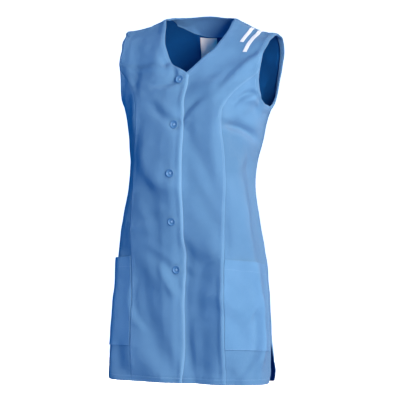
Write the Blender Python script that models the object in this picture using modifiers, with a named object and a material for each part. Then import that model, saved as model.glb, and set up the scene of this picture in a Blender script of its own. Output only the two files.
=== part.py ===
"""Sleeveless buttoned medical tunic, shown worn with nobody in it.

Metres, +Z up. The wearer faces -Y and the wearer's left is +X. The origin is level with the two
side neck points, halfway between them. Every cloth piece is a region of one body form: a point of
the form is named by its angle round the body (0 at the centre front, 90 degrees at the side seam,
180 degrees at the centre back) and its run, the metres of cloth above the hem.
"""
import math

import bpy
import numpy as np

# ------------------------------------------------------------------ sizes, metres
WALL = 0.0015            # cloth of a panel, with its turned edges
TRIM_WALL = 0.0011       # pockets, facings and tapes
GAP = 0.0003             # clear space between pieces at a seam, at the inner side of the cloth
SEAM_INSET = 0.0003      # each panel edge from its seam line
SHOULDER_INSET = 0.0005  # run of each panel edge from the shoulder line
LAY_GAP = 0.0005         # clear space under a piece that lies on a panel
INNER_GAP = 0.0008       # clear space outside a piece inside the panel
NECK_HALF = 0.0785       # side neck point, across
SHOULDER_HALF = 0.179    # shoulder point, across
SHOULDER_SLOPE = 0.32    # fall of the shoulder line for each metre across
SHOULDER_SAG = 0.0035    # dip of the shoulder line halfway
CREST_ROUND = 0.035      # rounding of the shoulder line at the centre
NAPE_RISE = 0.026        # how far the back neck stands above the shoulder line
NAPE_WIDTH = 0.095
NAPE_DEPTH = 0.055
NAPE_CURVE = 2.6         # how flat the back neck edge runs before it rises to the side neck
LAP_HALF = 0.019         # how far each front runs past the centre front
LAP_BLEND = 0.026        # width over which the upper lap comes down to the panel
LAP_CLEAR = 0.001        # full height this far beyond the hidden edge
FORM_STEP = 1.0e-4       # step for the slopes of the form

RUN_TOP = 0.820          # run at the shoulder line
RUN_UNDERARM = 0.595     # run at the foot of the armhole
RUN_JOIN = 0.680         # run where the princess seam meets the armhole
RUN_CORNER = {-1: 0.669, 1: 0.655}   # run at the top corner of the right and left front
RUN_NAPE = 0.777         # run at the centre of the back neck
RUN_SLIT = 0.089         # run at the top of the side slits
SLIT_FRONT_SWING = 0.002  # the front edge of a slit stands in by this at the hem
SLIT_BACK_SWING = 0.010   # the back edge of a slit stands back by this at the hem
HEM_CORNER = (0.012, 0.011)   # width and height of the rounding of a front at the foot of a slit
BACK_CORNER = (0.060, 0.020)  # and of the back, which hangs a little shorter there
FRONT_CORNER_ROWS = 3    # rows over which each rounding fades upward
BACK_CORNER_ROWS = 6
FRONT_SWING_CURVE = 1.5  # how late the slit edges swing apart on the way down
BACK_SWING_CURVE = 0.7
SWING_FROM = 0.5         # share of a panel's width that stays still when its slit edge swings
BACK_SWING_OUT = 0.45    # share of the back swing that goes sideways

# ------------------------------------------------------------------ the body form, a row per level
LEVEL_COLUMNS = ("run", "height", "half_width", "side_y", "front", "back",
                 "square_front", "square_back", "shoulder_tilt", "nape")
LEVELS = np.array((
    (0.000, -0.780, 0.187, -0.054, 0.072, 0.101, 3.0, 2.4, 0.00, 0.0),
    (0.080, -0.700, 0.184, -0.052, 0.074, 0.102, 3.0, 2.4, 0.00, 0.0),
    (0.160, -0.620, 0.178, -0.049, 0.078, 0.103, 3.0, 2.4, 0.00, 0.0),
    (0.230, -0.550, 0.170, -0.047, 0.081, 0.110, 2.9, 2.4, 0.00, 0.0),
    (0.290, -0.490, 0.163, -0.047, 0.084, 0.103, 2.8, 2.4, 0.00, 0.0),
    (0.350, -0.430, 0.153, -0.044, 0.096, 0.084, 2.6, 2.4, 0.00, 0.0),
    (0.415, -0.365, 0.142, -0.040, 0.107, 0.077, 2.4, 2.4, 0.00, 0.0),
    (0.480, -0.300, 0.142, -0.028, 0.120, 0.078, 2.3, 2.4, 0.00, 0.0),
    (0.530, -0.250, 0.150, -0.020, 0.126, 0.085, 2.2, 2.5, 0.00, 0.0),
    (0.570, -0.210, 0.161, -0.018, 0.121, 0.091, 2.1, 2.3, 0.00, 0.0),
    (0.632, -0.150, 0.187, -0.004, 0.115, 0.083, 2.0, 2.1, 0.00, 0.0),
    (0.684, -0.100, 0.210, 0.000, 0.098, 0.079, 2.0, 2.2, 0.05, 0.3),
    (0.730, -0.060, 0.228, 0.000, 0.062, 0.070, 2.2, 2.7, 0.25, 1.0),
    (0.770, -0.030, 0.240, 0.000, 0.031, 0.052, 3.0, 2.8, 0.50, 1.0),
    (0.800, -0.010, 0.247, 0.000, 0.011, 0.030, 3.0, 3.0, 0.85, 1.0),
    (0.811, -0.003, 0.249, 0.000, 0.006, 0.015, 3.0, 3.0, 0.95, 1.0),
    (0.816, -0.001, 0.250, 0.000, 0.003, 0.006, 3.0, 3.0, 1.00, 1.0),
    (0.820, 0.000, 0.250, 0.000, 0.000, 0.000, 3.0, 3.0, 1.00, 1.0),
))

# outlines of the cut pieces on the form
NECK_COLUMNS = ("run", "right_across", "left_across")
NECKLINE = np.array((
    (0.655, -0.0200, -0.0190), (0.669, -0.0170, 0.0010), (0.676, -0.0084, 0.0096),
    (0.690, 0.0235, 0.0228), (0.704, 0.0380, 0.0370), (0.716, 0.0460, 0.0490),
    (0.730, 0.0545, 0.0595), (0.749, 0.0620, 0.0660), (0.778, 0.0700, 0.0735),
    (0.807, 0.0765, 0.0769), (0.820, 0.0785, 0.0785)))
LAP_COLUMNS = ("run", "past_centre")
RIGHT_LAP = np.array((
    (0.000, 0.0120), (0.100, 0.0138), (0.210, 0.0160), (0.295, 0.0199), (0.380, 0.0232),
    (0.460, 0.0218), (0.540, 0.0222), (0.571, 0.0190), (0.605, 0.0160), (0.669, 0.0170)))
PRINCESS_COLUMNS = ("run", "across")
PRINCESS = np.array((
    (0.000, 0.1155), (0.150, 0.1150), (0.260, 0.1120), (0.400, 0.1115), (0.500, 0.1070),
    (0.560, 0.1015), (0.590, 0.1015), (0.608, 0.1075), (0.632, 0.1227), (0.652, 0.1410),
    (0.667, 0.1580)))
SIDE_COLUMNS_TABLE = ("run", "angle_deg")
SIDE_SEAM = np.array((
    (0.000, 96.0), (0.150, 100.0), (0.300, 101.0), (0.450, 99.0), (0.550, 94.0), (0.595, 90.0)))
ARMHOLE_COLUMNS = ("run", "angle_deg")
ARMHOLE_FRONT = np.array((
    (0.595, 90.0), (0.6009, 78.7), (0.611, 69.3), (0.628, 62.9), (0.652, 57.4), (0.680, 53.3),
    (0.709, 49.4), (0.734, 45.3), (0.770, 40.3)))
ARMHOLE_BACK = np.array((
    (0.595, 90.0), (0.600, 97.0), (0.612, 108.0), (0.632, 116.0), (0.673, 125.0),
    (0.720, 134.5), (0.770, 138.3)))

# ------------------------------------------------------------------ the largest folds, a row each
# line of the fold as seen from seen_deg round to the wearer's left of the front: across that view
# and height, metres; depth is in for a trough (+ is out)
FOLD_COLUMNS = ("seen_deg", "across_a", "height_a", "across_b", "height_b", "half_width", "depth")
FOLDS = np.array((
    (25.0, 0.115, -0.090, -0.012, -0.200, 0.020, -0.0030),
    (25.0, -0.105, -0.175, -0.062, -0.215, 0.020, -0.0024),
    (25.0, 0.030, -0.150, -0.036, -0.215, 0.018, -0.0024),
    (25.0, -0.118, -0.060, -0.125, -0.170, 0.020, -0.0022),
    (25.0, 0.048, -0.200, 0.118, -0.245, 0.020, -0.0022),
    (25.0, -0.040, -0.480, 0.046, -0.530, 0.022, -0.0026),
    (25.0, 0.002, -0.590, 0.030, -0.720, 0.022, -0.0026),
    (25.0, -0.140, -0.600, -0.070, -0.760, 0.024, -0.0026),
    (25.0, -0.132, -0.350, -0.088, -0.395, 0.020, -0.0020),
    (155.0, -0.080, -0.360, 0.060, -0.420, 0.022, -0.0030),
    (180.0, 0.070, -0.330, -0.050, -0.370, 0.022, -0.0026),
    (200.0, 0.060, -0.560, 0.090, -0.740, 0.024, -0.0028),
    (180.0, -0.060, -0.520, -0.080, -0.730, 0.024, -0.0028),
    (180.0, 0.110, -0.120, 0.060, -0.230, 0.022, -0.0022),
    (180.0, -0.120, -0.130, -0.070, -0.220, 0.022, -0.0020),
))
FOLD_FADE = 0.25         # share of a fold's length over which each end fades
FOLD_FACING = (0.05, 0.45)  # a fold shows only where the cloth faces its view

# ------------------------------------------------------------------ mesh counts
SIDE_ROWS = 36
ARM_ROWS = 11
BACK_ARM_ROWS = 16
CREST_ROW = 0.006        # the last row before the shoulder line
FRONT_COLUMNS = 10
SIDE_COLUMNS = 9
BACK_COLUMNS = 13        # centre back to side
NECK_SHARE = 5           # back columns under the neck edge

# ------------------------------------------------------------------ pockets, label, tapes, buttons
POCKET_TOP_PRINCESS = 0.271
POCKET_TOP_SIDE = 0.256
POCKET_FOOT_PRINCESS = 0.0765
POCKET_FOOT_SIDE = 0.0710
POCKET_INSET = 0.002     # pocket edge from the princess seam
POCKET_SIDE_INSET = 0.010  # and from the side seam
POCKET_MOUTH_GAPE = 0.004
POCKET_GAPE_FROM = 0.6   # share of the pocket depth that lies flat
POCKET_ROWS = 14
POCKET_COLUMNS = 9
FACING_ROWS_CENTRE = 4.6   # depth of the back neck facing, in rows of the back
FACING_ROWS_SHOULDER = 3.6
FACING_TOP_INSET = 0.07
FACING_ROW_CLOSE = 0.04    # spacing of rows that run out at the foot of the facing
ARM_FACING_FROM = 1.0      # places of the armhole facings, in rows and columns of the back
ARM_FACING_TO = 1.5
ARM_FACING_INSET = 0.06
ARM_FACING_WIDE = 0.85
ARM_FACING_NARROW = 0.40
ARM_FACING_TAPER = 5.0     # rows over which it widens
LABEL_COLUMNS = (-2.2, 0.35)
LABEL_ROWS = (7.2, 4.7)
LABEL_WALL = 0.0010
TAPE_COLUMNS = ("name", "across_top", "across_foot", "length", "width")
TAPES = (
    ("shoulder_stripe_inner", 0.1240, 0.1140, 0.062, 0.0078),
    ("shoulder_stripe_outer", 0.1435, 0.1270, 0.089, 0.0088),
)
TAPE_ROWS = 10
TAPE_START = 0.0015      # from the shoulder seam
BUTTON_RUNS = (0.657, 0.559, 0.4545, 0.351, 0.245)
BUTTON_STEPS = 20
BUTTON_COLUMNS = ("radius", "height")
BUTTON_PROFILE = (
    (0.0000, 0.0000), (0.0055, 0.0000), (0.0082, 0.0009), (0.0090, 0.0018), (0.0088, 0.0027),
    (0.0080, 0.0031), (0.0070, 0.0028), (0.0058, 0.0019), (0.0000, 0.0017))

# ------------------------------------------------------------------ materials: name, sRGB hex, roughness
MATERIALS = {
    "twill_blue": ("#5A8BC6", 0.85),
    "tape_white": ("#F1F2F4", 0.80),
    "button_blue": ("#6093CC", 0.40),
    "label_white": ("#ECECEA", 0.75),
}


def column(table, columns, name):
    return table[:, columns.index(name)]


def spline(knots, values, at):
    """Smooth curve through the knots, with slopes shared between neighbours."""
    knots = np.asarray(knots, float)
    values = np.asarray(values, float)
    at = np.asarray(at, float)
    gaps = np.diff(knots)
    rates = np.diff(values) / gaps
    slopes = np.empty_like(values)
    slopes[0] = rates[0]
    slopes[-1] = rates[-1]
    share = gaps[1:] / (gaps[1:] + gaps[:-1])
    slopes[1:-1] = share * rates[:-1] + (1.0 - share) * rates[1:]
    index = np.clip(np.searchsorted(knots, at) - 1, 0, len(knots) - 2)
    gap = gaps[index]
    t = (at - knots[index]) / gap
    return ((2 * t ** 3 - 3 * t ** 2 + 1) * values[index]
            + (t ** 3 - 2 * t ** 2 + t) * gap * slopes[index]
            + (3 * t ** 2 - 2 * t ** 3) * values[index + 1]
            + (t ** 3 - t ** 2) * gap * slopes[index + 1])


def level(name, run):
    return spline(column(LEVELS, LEVEL_COLUMNS, "run"), column(LEVELS, LEVEL_COLUMNS, name), run)


def smoothstep(low, high, value):
    t = np.clip((value - low) / (high - low), 0.0, 1.0)
    return t * t * (3.0 - 2.0 * t)


def ridge(across):
    """Height of the shoulder line."""
    rounded = np.sqrt(across ** 2 + CREST_ROUND ** 2)
    share = np.clip((np.abs(across) - NECK_HALF) / (SHOULDER_HALF - NECK_HALF), 0.0, 1.0)
    sag = SHOULDER_SAG * np.sin(math.pi * share) ** 2
    return -SHOULDER_SLOPE * (rounded - math.hypot(NECK_HALF, CREST_ROUND)) - sag


def form(angle, run):
    """Point of the body form. Angle in radians, positive to the wearer's left."""
    angle, run = np.broadcast_arrays(np.asarray(angle, float), np.asarray(run, float))
    side = np.sin(angle)
    fore = np.cos(angle)
    is_front = fore > 0
    square = np.where(is_front, level("square_front", run), level("square_back", run))
    depth = np.where(is_front, level("front", run), level("back", run))
    reach = (np.abs(side) ** square + np.abs(fore) ** square) ** (-1.0 / square)
    x = level("half_width", run) * reach * side
    behind = -depth * reach * fore
    y = level("side_y", run) + behind
    rise = NAPE_RISE * np.clip(behind / NAPE_DEPTH, 0.0, 1.0) * np.exp(-(x / NAPE_WIDTH) ** 2)
    z = level("height", run) + level("shoulder_tilt", run) * ridge(x) + level("nape", run) * rise
    return np.stack([x, y, z], axis=-1)


def angle_of(across, run, back=False):
    """Angle at which the form stands this far across."""
    square = level("square_back" if back else "square_front", run)
    share = np.clip(np.abs(across) / level("half_width", run), 0.0, 1.0)
    angle = np.arctan2(share, (1.0 - share ** square) ** (1.0 / square))
    angle = math.pi - angle if back else angle
    return np.sign(across) * angle


def outward(angle, run):
    """Unit normal of the form, out of the body."""
    low = np.minimum(run, RUN_TOP - 2 * FORM_STEP)
    around = form(angle + FORM_STEP, low) - form(angle - FORM_STEP, low)
    up = form(angle, low + FORM_STEP) - form(angle, low - FORM_STEP)
    normal = np.cross(around, up)
    return normal / np.linalg.norm(normal, axis=-1, keepdims=True)


def fold_depth(points, normals):
    """Sum of the folds at points of the form."""
    total = np.zeros(points.shape[:-1])
    for seen, across_a, height_a, across_b, height_b, width, depth in FOLDS:
        turn = math.radians(seen)
        across = points[..., 0] * math.cos(turn) + points[..., 1] * math.sin(turn)
        facing = normals[..., 0] * math.sin(turn) - normals[..., 1] * math.cos(turn)
        line = np.array((across_b - across_a, height_b - height_a))
        length = np.hypot(line[0], line[1])
        from_a = (across - across_a, points[..., 2] - height_a)
        along = (from_a[0] * line[0] + from_a[1] * line[1]) / length ** 2
        off = (from_a[0] * line[1] - from_a[1] * line[0]) / length
        ends = smoothstep(-FOLD_FADE, FOLD_FADE, along) * smoothstep(
            -FOLD_FADE, FOLD_FADE, 1.0 - along)
        total += depth * np.exp(-(off / width) ** 2) * ends * smoothstep(*FOLD_FACING, facing)
    return total


def cloth(angle, run, raised=0.0):
    """Point of the worn cloth: the form with its folds, raised by this much."""
    angle, run = np.broadcast_arrays(np.asarray(angle, float), np.asarray(run, float))
    points = form(angle, run)
    normals = outward(angle, run)
    height = fold_depth(points, normals) + raised
    return points + normals * height[..., None]


def inset(angle, run, metres):
    """The same angle moved round the body by this much cloth."""
    reach = np.linalg.norm(form(angle + FORM_STEP, run) - form(angle - FORM_STEP, run), axis=-1)
    return angle + metres * 2 * FORM_STEP / reach


def front_edge(run, side):
    """How far across the inner edge of a front stands: its lap, then its neckline."""
    corner = RUN_CORNER[side]
    name = "right_across" if side < 0 else "left_across"
    neck = spline(column(NECKLINE, NECK_COLUMNS, "run"), column(NECKLINE, NECK_COLUMNS, name),
                  np.maximum(run, corner))
    if side < 0:
        lap = spline(column(RIGHT_LAP, LAP_COLUMNS, "run"),
                     column(RIGHT_LAP, LAP_COLUMNS, "past_centre"), np.minimum(run, corner))
    else:
        lap = np.full(np.shape(run), LAP_HALF)
    return np.where(run < corner, -lap, neck)


def side_angle(run):
    """Angle of the side seam."""
    return spline(column(SIDE_SEAM, SIDE_COLUMNS_TABLE, "run"),
                  np.radians(column(SIDE_SEAM, SIDE_COLUMNS_TABLE, "angle_deg")), run)


def princess_runs():
    """Runs of the rows of both pieces at the princess seam, hem to armhole."""
    return np.append(np.linspace(0.0, RUN_CORNER[1], SIDE_ROWS - 1), (RUN_CORNER[-1], RUN_JOIN))


def armhole_angle(table, run, back):
    """Angle of an armhole edge, from the underarm to the shoulder point."""
    runs = np.append(column(table, ARMHOLE_COLUMNS, "run"), RUN_TOP)
    top = angle_of(SHOULDER_HALF, RUN_TOP, back)
    angles = np.append(np.radians(column(table, ARMHOLE_COLUMNS, "angle_deg")), top)
    return spline(runs, angles, run)


def arm_runs(table, back, start, count):
    """Runs of evenly spaced points along an armhole edge, from this run to the shoulder."""
    dense = np.linspace(start, RUN_TOP, 400)
    points = form(armhole_angle(table, dense, back), dense)
    steps = np.linalg.norm(np.diff(points, axis=0), axis=-1)
    length = np.concatenate([[0.0], np.cumsum(steps)])
    return np.interp(np.linspace(0.0, length[-1], count), length, dense)


def princess_angle(run):
    join = form(armhole_angle(ARMHOLE_FRONT, RUN_JOIN, False), RUN_JOIN)[0]
    runs = np.append(column(PRINCESS, PRINCESS_COLUMNS, "run"), RUN_JOIN)
    across = np.append(column(PRINCESS, PRINCESS_COLUMNS, "across"), join)
    return angle_of(spline(runs, across, run), run)


def nape_run(across):
    """Run of the back neck edge."""
    share = np.clip(np.abs(across) / NECK_HALF, 0.0, 1.0)
    return RUN_NAPE + (RUN_TOP - RUN_NAPE) * share ** NAPE_CURVE


def patch(left, right, foot, top):
    """Fill between four edges of (angle, run) points: rows up, columns across."""
    rows = len(left)
    columns = len(foot)
    s = np.linspace(0.0, 1.0, columns)[None, :, None]
    t = np.linspace(0.0, 1.0, rows)[:, None, None]
    sides = (1 - s) * left[:, None, :] + s * right[:, None, :]
    ends = (1 - t) * foot[None, :, :] + t * top[None, :, :]
    corners = ((1 - s) * (1 - t) * left[0] + s * (1 - t) * right[0]
               + (1 - s) * t * left[-1] + s * t * right[-1])
    return sides + ends - corners


def pairs(angle, run):
    angle, run = np.broadcast_arrays(np.asarray(angle, float), np.asarray(run, float))
    return np.stack([angle, run], axis=-1)


def side_runs():
    """Runs of the side seam rows, hem to underarm."""
    return np.linspace(0.0, RUN_UNDERARM, SIDE_ROWS + 1)


def lap_rise(points, side):
    """How far the right front stands off where it laps over the left one."""
    if side > 0:
        return np.zeros(points.shape[:-1])
    full = -LAP_HALF - LAP_CLEAR
    return (WALL + LAY_GAP) * smoothstep(full - LAP_BLEND, full, points[..., 0])


def front_grid(side):
    """Centre front panel: side -1 is the wearer's right front, which laps on top."""
    above = np.linspace(RUN_JOIN, RUN_TOP - CREST_ROW, ARM_ROWS - 1)[1:]
    runs = np.concatenate([princess_runs(), above, [RUN_TOP - SHOULDER_INSET]])
    inner = angle_of(front_edge(runs, side), runs)
    outer = np.where(runs <= RUN_JOIN, princess_angle(np.minimum(runs, RUN_JOIN)),
                     armhole_angle(ARMHOLE_FRONT, np.maximum(runs, RUN_JOIN), False))
    outer = inset(outer, runs, np.where(runs <= RUN_JOIN, -SEAM_INSET, 0.0))
    share = np.linspace(0.0, 1.0, FRONT_COLUMNS + 1)
    angles = inner[:, None] * (1 - share) + outer[:, None] * share
    grid_runs = np.repeat(runs[:, None], FRONT_COLUMNS + 1, axis=1)
    base = form(side * angles, grid_runs)
    points = cloth(side * angles, grid_runs, lap_rise(base, side))
    return points


def round_corner(angles, runs, corner, rows_moved):
    """Lift the rows nearest the hem round the outer lower corner."""
    width, height = corner
    near = np.linalg.norm(form(angles[0, -1], 0.0) - form(angles[0], 0.0), axis=-1)
    inside = np.clip(1.0 - near / width, 0.0, 1.0)
    lift = height * (1.0 - np.sqrt(1.0 - inside ** 2))
    share = np.clip(1.0 - np.arange(len(runs)) / rows_moved, 0.0, 1.0)
    return runs + lift[None, :] * share[:, None]


def slit_share(run):
    """0 above the slit, 1 at the hem."""
    return np.clip(1.0 - run / RUN_SLIT, 0.0, 1.0)


def side_domain():
    inner_runs = princess_runs()
    left = pairs(inset(princess_angle(inner_runs), inner_runs, SEAM_INSET), inner_runs)
    right = pairs(inset(side_angle(side_runs()), side_runs(), -SEAM_INSET), side_runs())
    share = np.linspace(0.0, 1.0, SIDE_COLUMNS + 1)
    foot = pairs(left[0, 0] * (1 - share) + right[0, 0] * share, 0.0)
    along = arm_runs(ARMHOLE_FRONT, False, RUN_UNDERARM, 60)
    along = along[along < RUN_JOIN]
    top_runs = np.interp(share, np.linspace(0.0, 1.0, len(along) + 1), np.append(along, RUN_JOIN)[::-1])
    top = pairs(armhole_angle(ARMHOLE_FRONT, top_runs, False), top_runs)
    top[0] = left[-1]
    top[-1] = right[-1]
    return patch(left, right, foot, top)


def side_grid(side):
    """Side front panel between the princess seam and the side seam, open at the slit."""
    domain = side_domain()
    angles = domain[..., 0]
    runs = round_corner(angles, domain[..., 1], HEM_CORNER, FRONT_CORNER_ROWS)
    across = smoothstep(SWING_FROM, 1.0, np.linspace(0, 1, SIDE_COLUMNS + 1))
    swing = slit_share(runs) ** FRONT_SWING_CURVE * across[None, :]
    return cloth(side * angles, runs, -SLIT_FRONT_SWING * swing)


def back_domain():
    arm = arm_runs(ARMHOLE_BACK, True, RUN_UNDERARM, BACK_ARM_ROWS)
    arm[-1] = RUN_TOP - CREST_ROW
    runs = np.concatenate([side_runs(), arm[1:], [RUN_TOP - SHOULDER_INSET]])
    rows = len(runs)
    edge = np.where(runs <= RUN_UNDERARM, side_angle(np.minimum(runs, RUN_UNDERARM)),
                    armhole_angle(ARMHOLE_BACK, np.maximum(runs, RUN_UNDERARM), True))
    edge = inset(edge, runs, np.where(runs <= RUN_UNDERARM, SEAM_INSET, 0.0))
    right = pairs(edge, runs)
    middle = np.linspace(0.0, RUN_NAPE, rows - 1)
    middle = np.concatenate([middle[:-1], [RUN_NAPE - CREST_ROW, RUN_NAPE]])
    left = pairs(math.pi, middle)
    share = np.linspace(0.0, 1.0, BACK_COLUMNS + 1)
    foot = pairs(math.pi * (1 - share) + edge[0] * share, 0.0)
    neck = np.linspace(0.0, NECK_HALF, NECK_SHARE + 1)
    shoulder = np.linspace(NECK_HALF, SHOULDER_HALF, BACK_COLUMNS - NECK_SHARE + 1)[1:]
    across = np.concatenate([neck, shoulder])
    top_runs = np.minimum(nape_run(across), RUN_TOP - SHOULDER_INSET)
    angles = angle_of(np.maximum(across, 1e-9), top_runs, True)
    top = pairs(angles, top_runs)
    top[-1] = right[-1]
    return patch(left, right, foot, top)


def back_grid():
    """The whole back, wearer's right side seam to left side seam."""
    domain = back_domain()
    angles = domain[..., 0]
    runs = round_corner(angles, domain[..., 1], BACK_CORNER, BACK_CORNER_ROWS)
    share = np.linspace(0, 1, BACK_COLUMNS + 1)[None, :]
    swing = slit_share(runs) ** BACK_SWING_CURVE * smoothstep(SWING_FROM, 1.0, share)
    halves = []
    for side in (1, -1):
        points = cloth(side * angles, runs, 0.0)
        points[..., 0] += side * BACK_SWING_OUT * SLIT_BACK_SWING * swing
        points[..., 1] += SLIT_BACK_SWING * swing
        halves.append(points)
    return np.concatenate([halves[1][:, :0:-1], halves[0]], axis=1)


def pocket_grid(side):
    """Patch pocket laid on the side front panel, its mouth standing off a little."""
    share = np.linspace(0.0, 1.0, POCKET_COLUMNS + 1)
    up = np.linspace(0.0, 1.0, POCKET_ROWS + 1)[:, None]
    top = POCKET_TOP_PRINCESS + (POCKET_TOP_SIDE - POCKET_TOP_PRINCESS) * share
    foot = POCKET_FOOT_PRINCESS + (POCKET_FOOT_SIDE - POCKET_FOOT_PRINCESS) * share
    runs = foot[None, :] + (top - foot)[None, :] * up
    inner = inset(princess_angle(runs[:, 0]), runs[:, 0], POCKET_INSET)
    outer = inset(side_angle(runs[:, -1]), runs[:, -1], -POCKET_SIDE_INSET)
    angles = inner[:, None] * (1 - share) + outer[:, None] * share
    gape = POCKET_MOUTH_GAPE * smoothstep(POCKET_GAPE_FROM, 1.0, up) * np.sin(math.pi * share)
    swing = slit_share(runs) ** FRONT_SWING_CURVE * smoothstep(SWING_FROM, 1.0, share)[None, :]
    raised = LAY_GAP + TRIM_WALL + gape - SLIT_FRONT_SWING * swing
    return cloth(side * angles, runs, raised)


def laid_on(panel, rows, columns, raised):
    """Points over a panel's own grid, at these places in its rows and columns, moved out."""
    up = np.gradient(panel, axis=0)
    along = np.gradient(panel, axis=1)
    normals = np.cross(along, up)
    normals /= np.linalg.norm(normals, axis=-1, keepdims=True)
    low_row = np.minimum(np.floor(rows).astype(int), panel.shape[0] - 2)
    low_column = np.minimum(np.floor(columns).astype(int), panel.shape[1] - 2)
    t = (rows - low_row)[..., None]
    s = (columns - low_column)[..., None]

    def blend(grid):
        foot = grid[low_row, low_column] * (1 - s) + grid[low_row, low_column + 1] * s
        head = grid[low_row + 1, low_column] * (1 - s) + grid[low_row + 1, low_column + 1] * s
        return foot * (1 - t) + head * t

    return blend(panel) + blend(normals) * raised


def stops(low, high):
    """Places from low to high with every whole grid line between them."""
    inside = np.arange(math.floor(low) + 1, math.ceil(high))
    return np.concatenate([[low], inside, [high]])


def neck_facing_grid(back):
    """Shaped facing inside the back neck, shoulder seam to shoulder seam, on the back's rows."""
    last = len(back) - 1
    offsets = np.linspace(-NECK_SHARE, NECK_SHARE, 2 * NECK_SHARE + 1)
    foot = FACING_ROWS_CENTRE - (FACING_ROWS_CENTRE - FACING_ROWS_SHOULDER) * (
        np.abs(offsets) / NECK_SHARE) ** 2
    depths = stops(FACING_TOP_INSET, FACING_ROWS_CENTRE)[::-1, None]
    rows = last - np.minimum(depths, foot - FACING_ROW_CLOSE * (FACING_ROWS_CENTRE - depths))
    columns = np.repeat((BACK_COLUMNS + offsets)[None, :], len(rows), axis=0)
    return laid_on(back, rows, columns, WALL + INNER_GAP)


def arm_facing_grid(back, side):
    """Narrow facing inside the back edge of an armhole, tapering to the underarm."""
    rows = stops(SIDE_ROWS + ARM_FACING_FROM, len(back) - 1 - ARM_FACING_TO)
    share = smoothstep(rows[0], rows[0] + ARM_FACING_TAPER, rows)
    width = ARM_FACING_NARROW + (ARM_FACING_WIDE - ARM_FACING_NARROW) * share
    reach = BACK_COLUMNS - ARM_FACING_INSET
    columns = BACK_COLUMNS + side * np.stack([reach - width, np.full_like(width, reach)], axis=1)
    return laid_on(back, np.repeat(rows[:, None], 2, axis=1), columns, WALL + INNER_GAP)


def label_grid(back):
    """Blank woven label inside the back, under the facing."""
    columns = stops(BACK_COLUMNS + LABEL_COLUMNS[0], BACK_COLUMNS + LABEL_COLUMNS[1])
    rows = stops(len(back) - 1 - LABEL_ROWS[0], len(back) - 1 - LABEL_ROWS[1])
    grid_columns, grid_rows = np.meshgrid(columns, rows)
    return laid_on(back, grid_rows, grid_columns, WALL + INNER_GAP)


def tape_grid(across_top, across_foot, length, width):
    """Straight tape on the wearer's left front, from the shoulder seam down."""
    runs = np.linspace(RUN_TOP - TAPE_START - length, RUN_TOP - TAPE_START, TAPE_ROWS + 1)
    share = np.linspace(0.0, 1.0, TAPE_ROWS + 1)
    middle = across_foot + (across_top - across_foot) * share
    offsets = np.linspace(-width / 2, width / 2, 3)
    across = middle[:, None] + offsets[None, :]
    grid_runs = np.repeat(runs[:, None], 3, axis=1)
    return cloth(angle_of(across, grid_runs), grid_runs, LAY_GAP + TRIM_WALL)


# ------------------------------------------------------------------ making the solids
def linear(hex_colour):
    values = [int(hex_colour[i:i + 2], 16) / 255 for i in (1, 3, 5)]
    return [v / 12.92 if v <= 0.04045 else ((v + 0.055) / 1.055) ** 2.4 for v in values] + [1.0]


def make_material(name):
    colour, roughness = MATERIALS[name]
    material = bpy.data.materials.new(name)
    material.use_nodes = True
    shader = material.node_tree.nodes["Principled BSDF"]
    shader.inputs["Base Color"].default_value = linear(colour)
    shader.inputs["Roughness"].default_value = roughness
    material.diffuse_color = linear(colour)
    return material


def sheet_mesh(name, points, flip, mirrored):
    """Open sheet over a grid of points; a mirrored one has its first half cut the other way."""
    rows, columns = points.shape[:2]
    index = np.arange(rows * columns).reshape(rows, columns)
    corners = np.stack([index[:-1, :-1], index[:-1, 1:], index[1:, 1:], index[1:, :-1]], axis=-1)
    faces = corners.reshape(-1, 4)
    first_half = np.tile(np.arange(columns - 1) < columns // 2, rows - 1)
    faces = np.where((first_half & mirrored)[:, None], np.roll(faces, 1, axis=1), faces)
    if flip:
        faces = faces[:, ::-1]
    mesh = bpy.data.meshes.new(name)
    mesh.from_pydata(points.reshape(-1, 3).tolist(), [], faces.tolist())
    mesh.update()
    return mesh


def cloth_node(name, points, wall, material, collection, flip=False, mirrored=False):
    """Named piece of cloth: an open sheet with a Solidify wall to its inner side."""
    shell = bpy.data.objects.new(name, sheet_mesh(name, points, flip, mirrored))
    collection.objects.link(shell)
    shell.data.materials.append(material)
    solid = shell.modifiers.new("wall", "SOLIDIFY")
    solid.thickness = wall
    solid.offset = -1.0
    solid.use_rim = True
    solid.use_even_offset = False
    return shell


def button_node(name, run, material, collection):
    """Turned button: a profile swept about its axis, seated on the placket."""
    base = cloth(angle_of(1e-9, run), run, WALL + LAY_GAP + GAP)
    normal = outward(angle_of(1e-9, run), run)
    mesh = bpy.data.meshes.new(name)
    count = len(BUTTON_PROFILE)
    mesh.from_pydata([(radius, 0.0, height) for radius, height in BUTTON_PROFILE],
                     [(i, i + 1) for i in range(count - 1)], [])
    button = bpy.data.objects.new(name, mesh)
    collection.objects.link(button)
    mesh.materials.append(material)
    turn = button.modifiers.new("turn", "SCREW")
    turn.axis = "Z"
    turn.angle = 2 * math.pi
    turn.steps = BUTTON_STEPS
    turn.render_steps = BUTTON_STEPS
    turn.use_merge_vertices = True
    turn.merge_threshold = 0.0001
    turn.use_normal_calculate = True
    tilt = math.atan2(normal[2], -normal[1])
    button.rotation_euler = (math.pi / 2 - tilt, 0.0, 0.0)
    button.location = base
    return button


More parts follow.
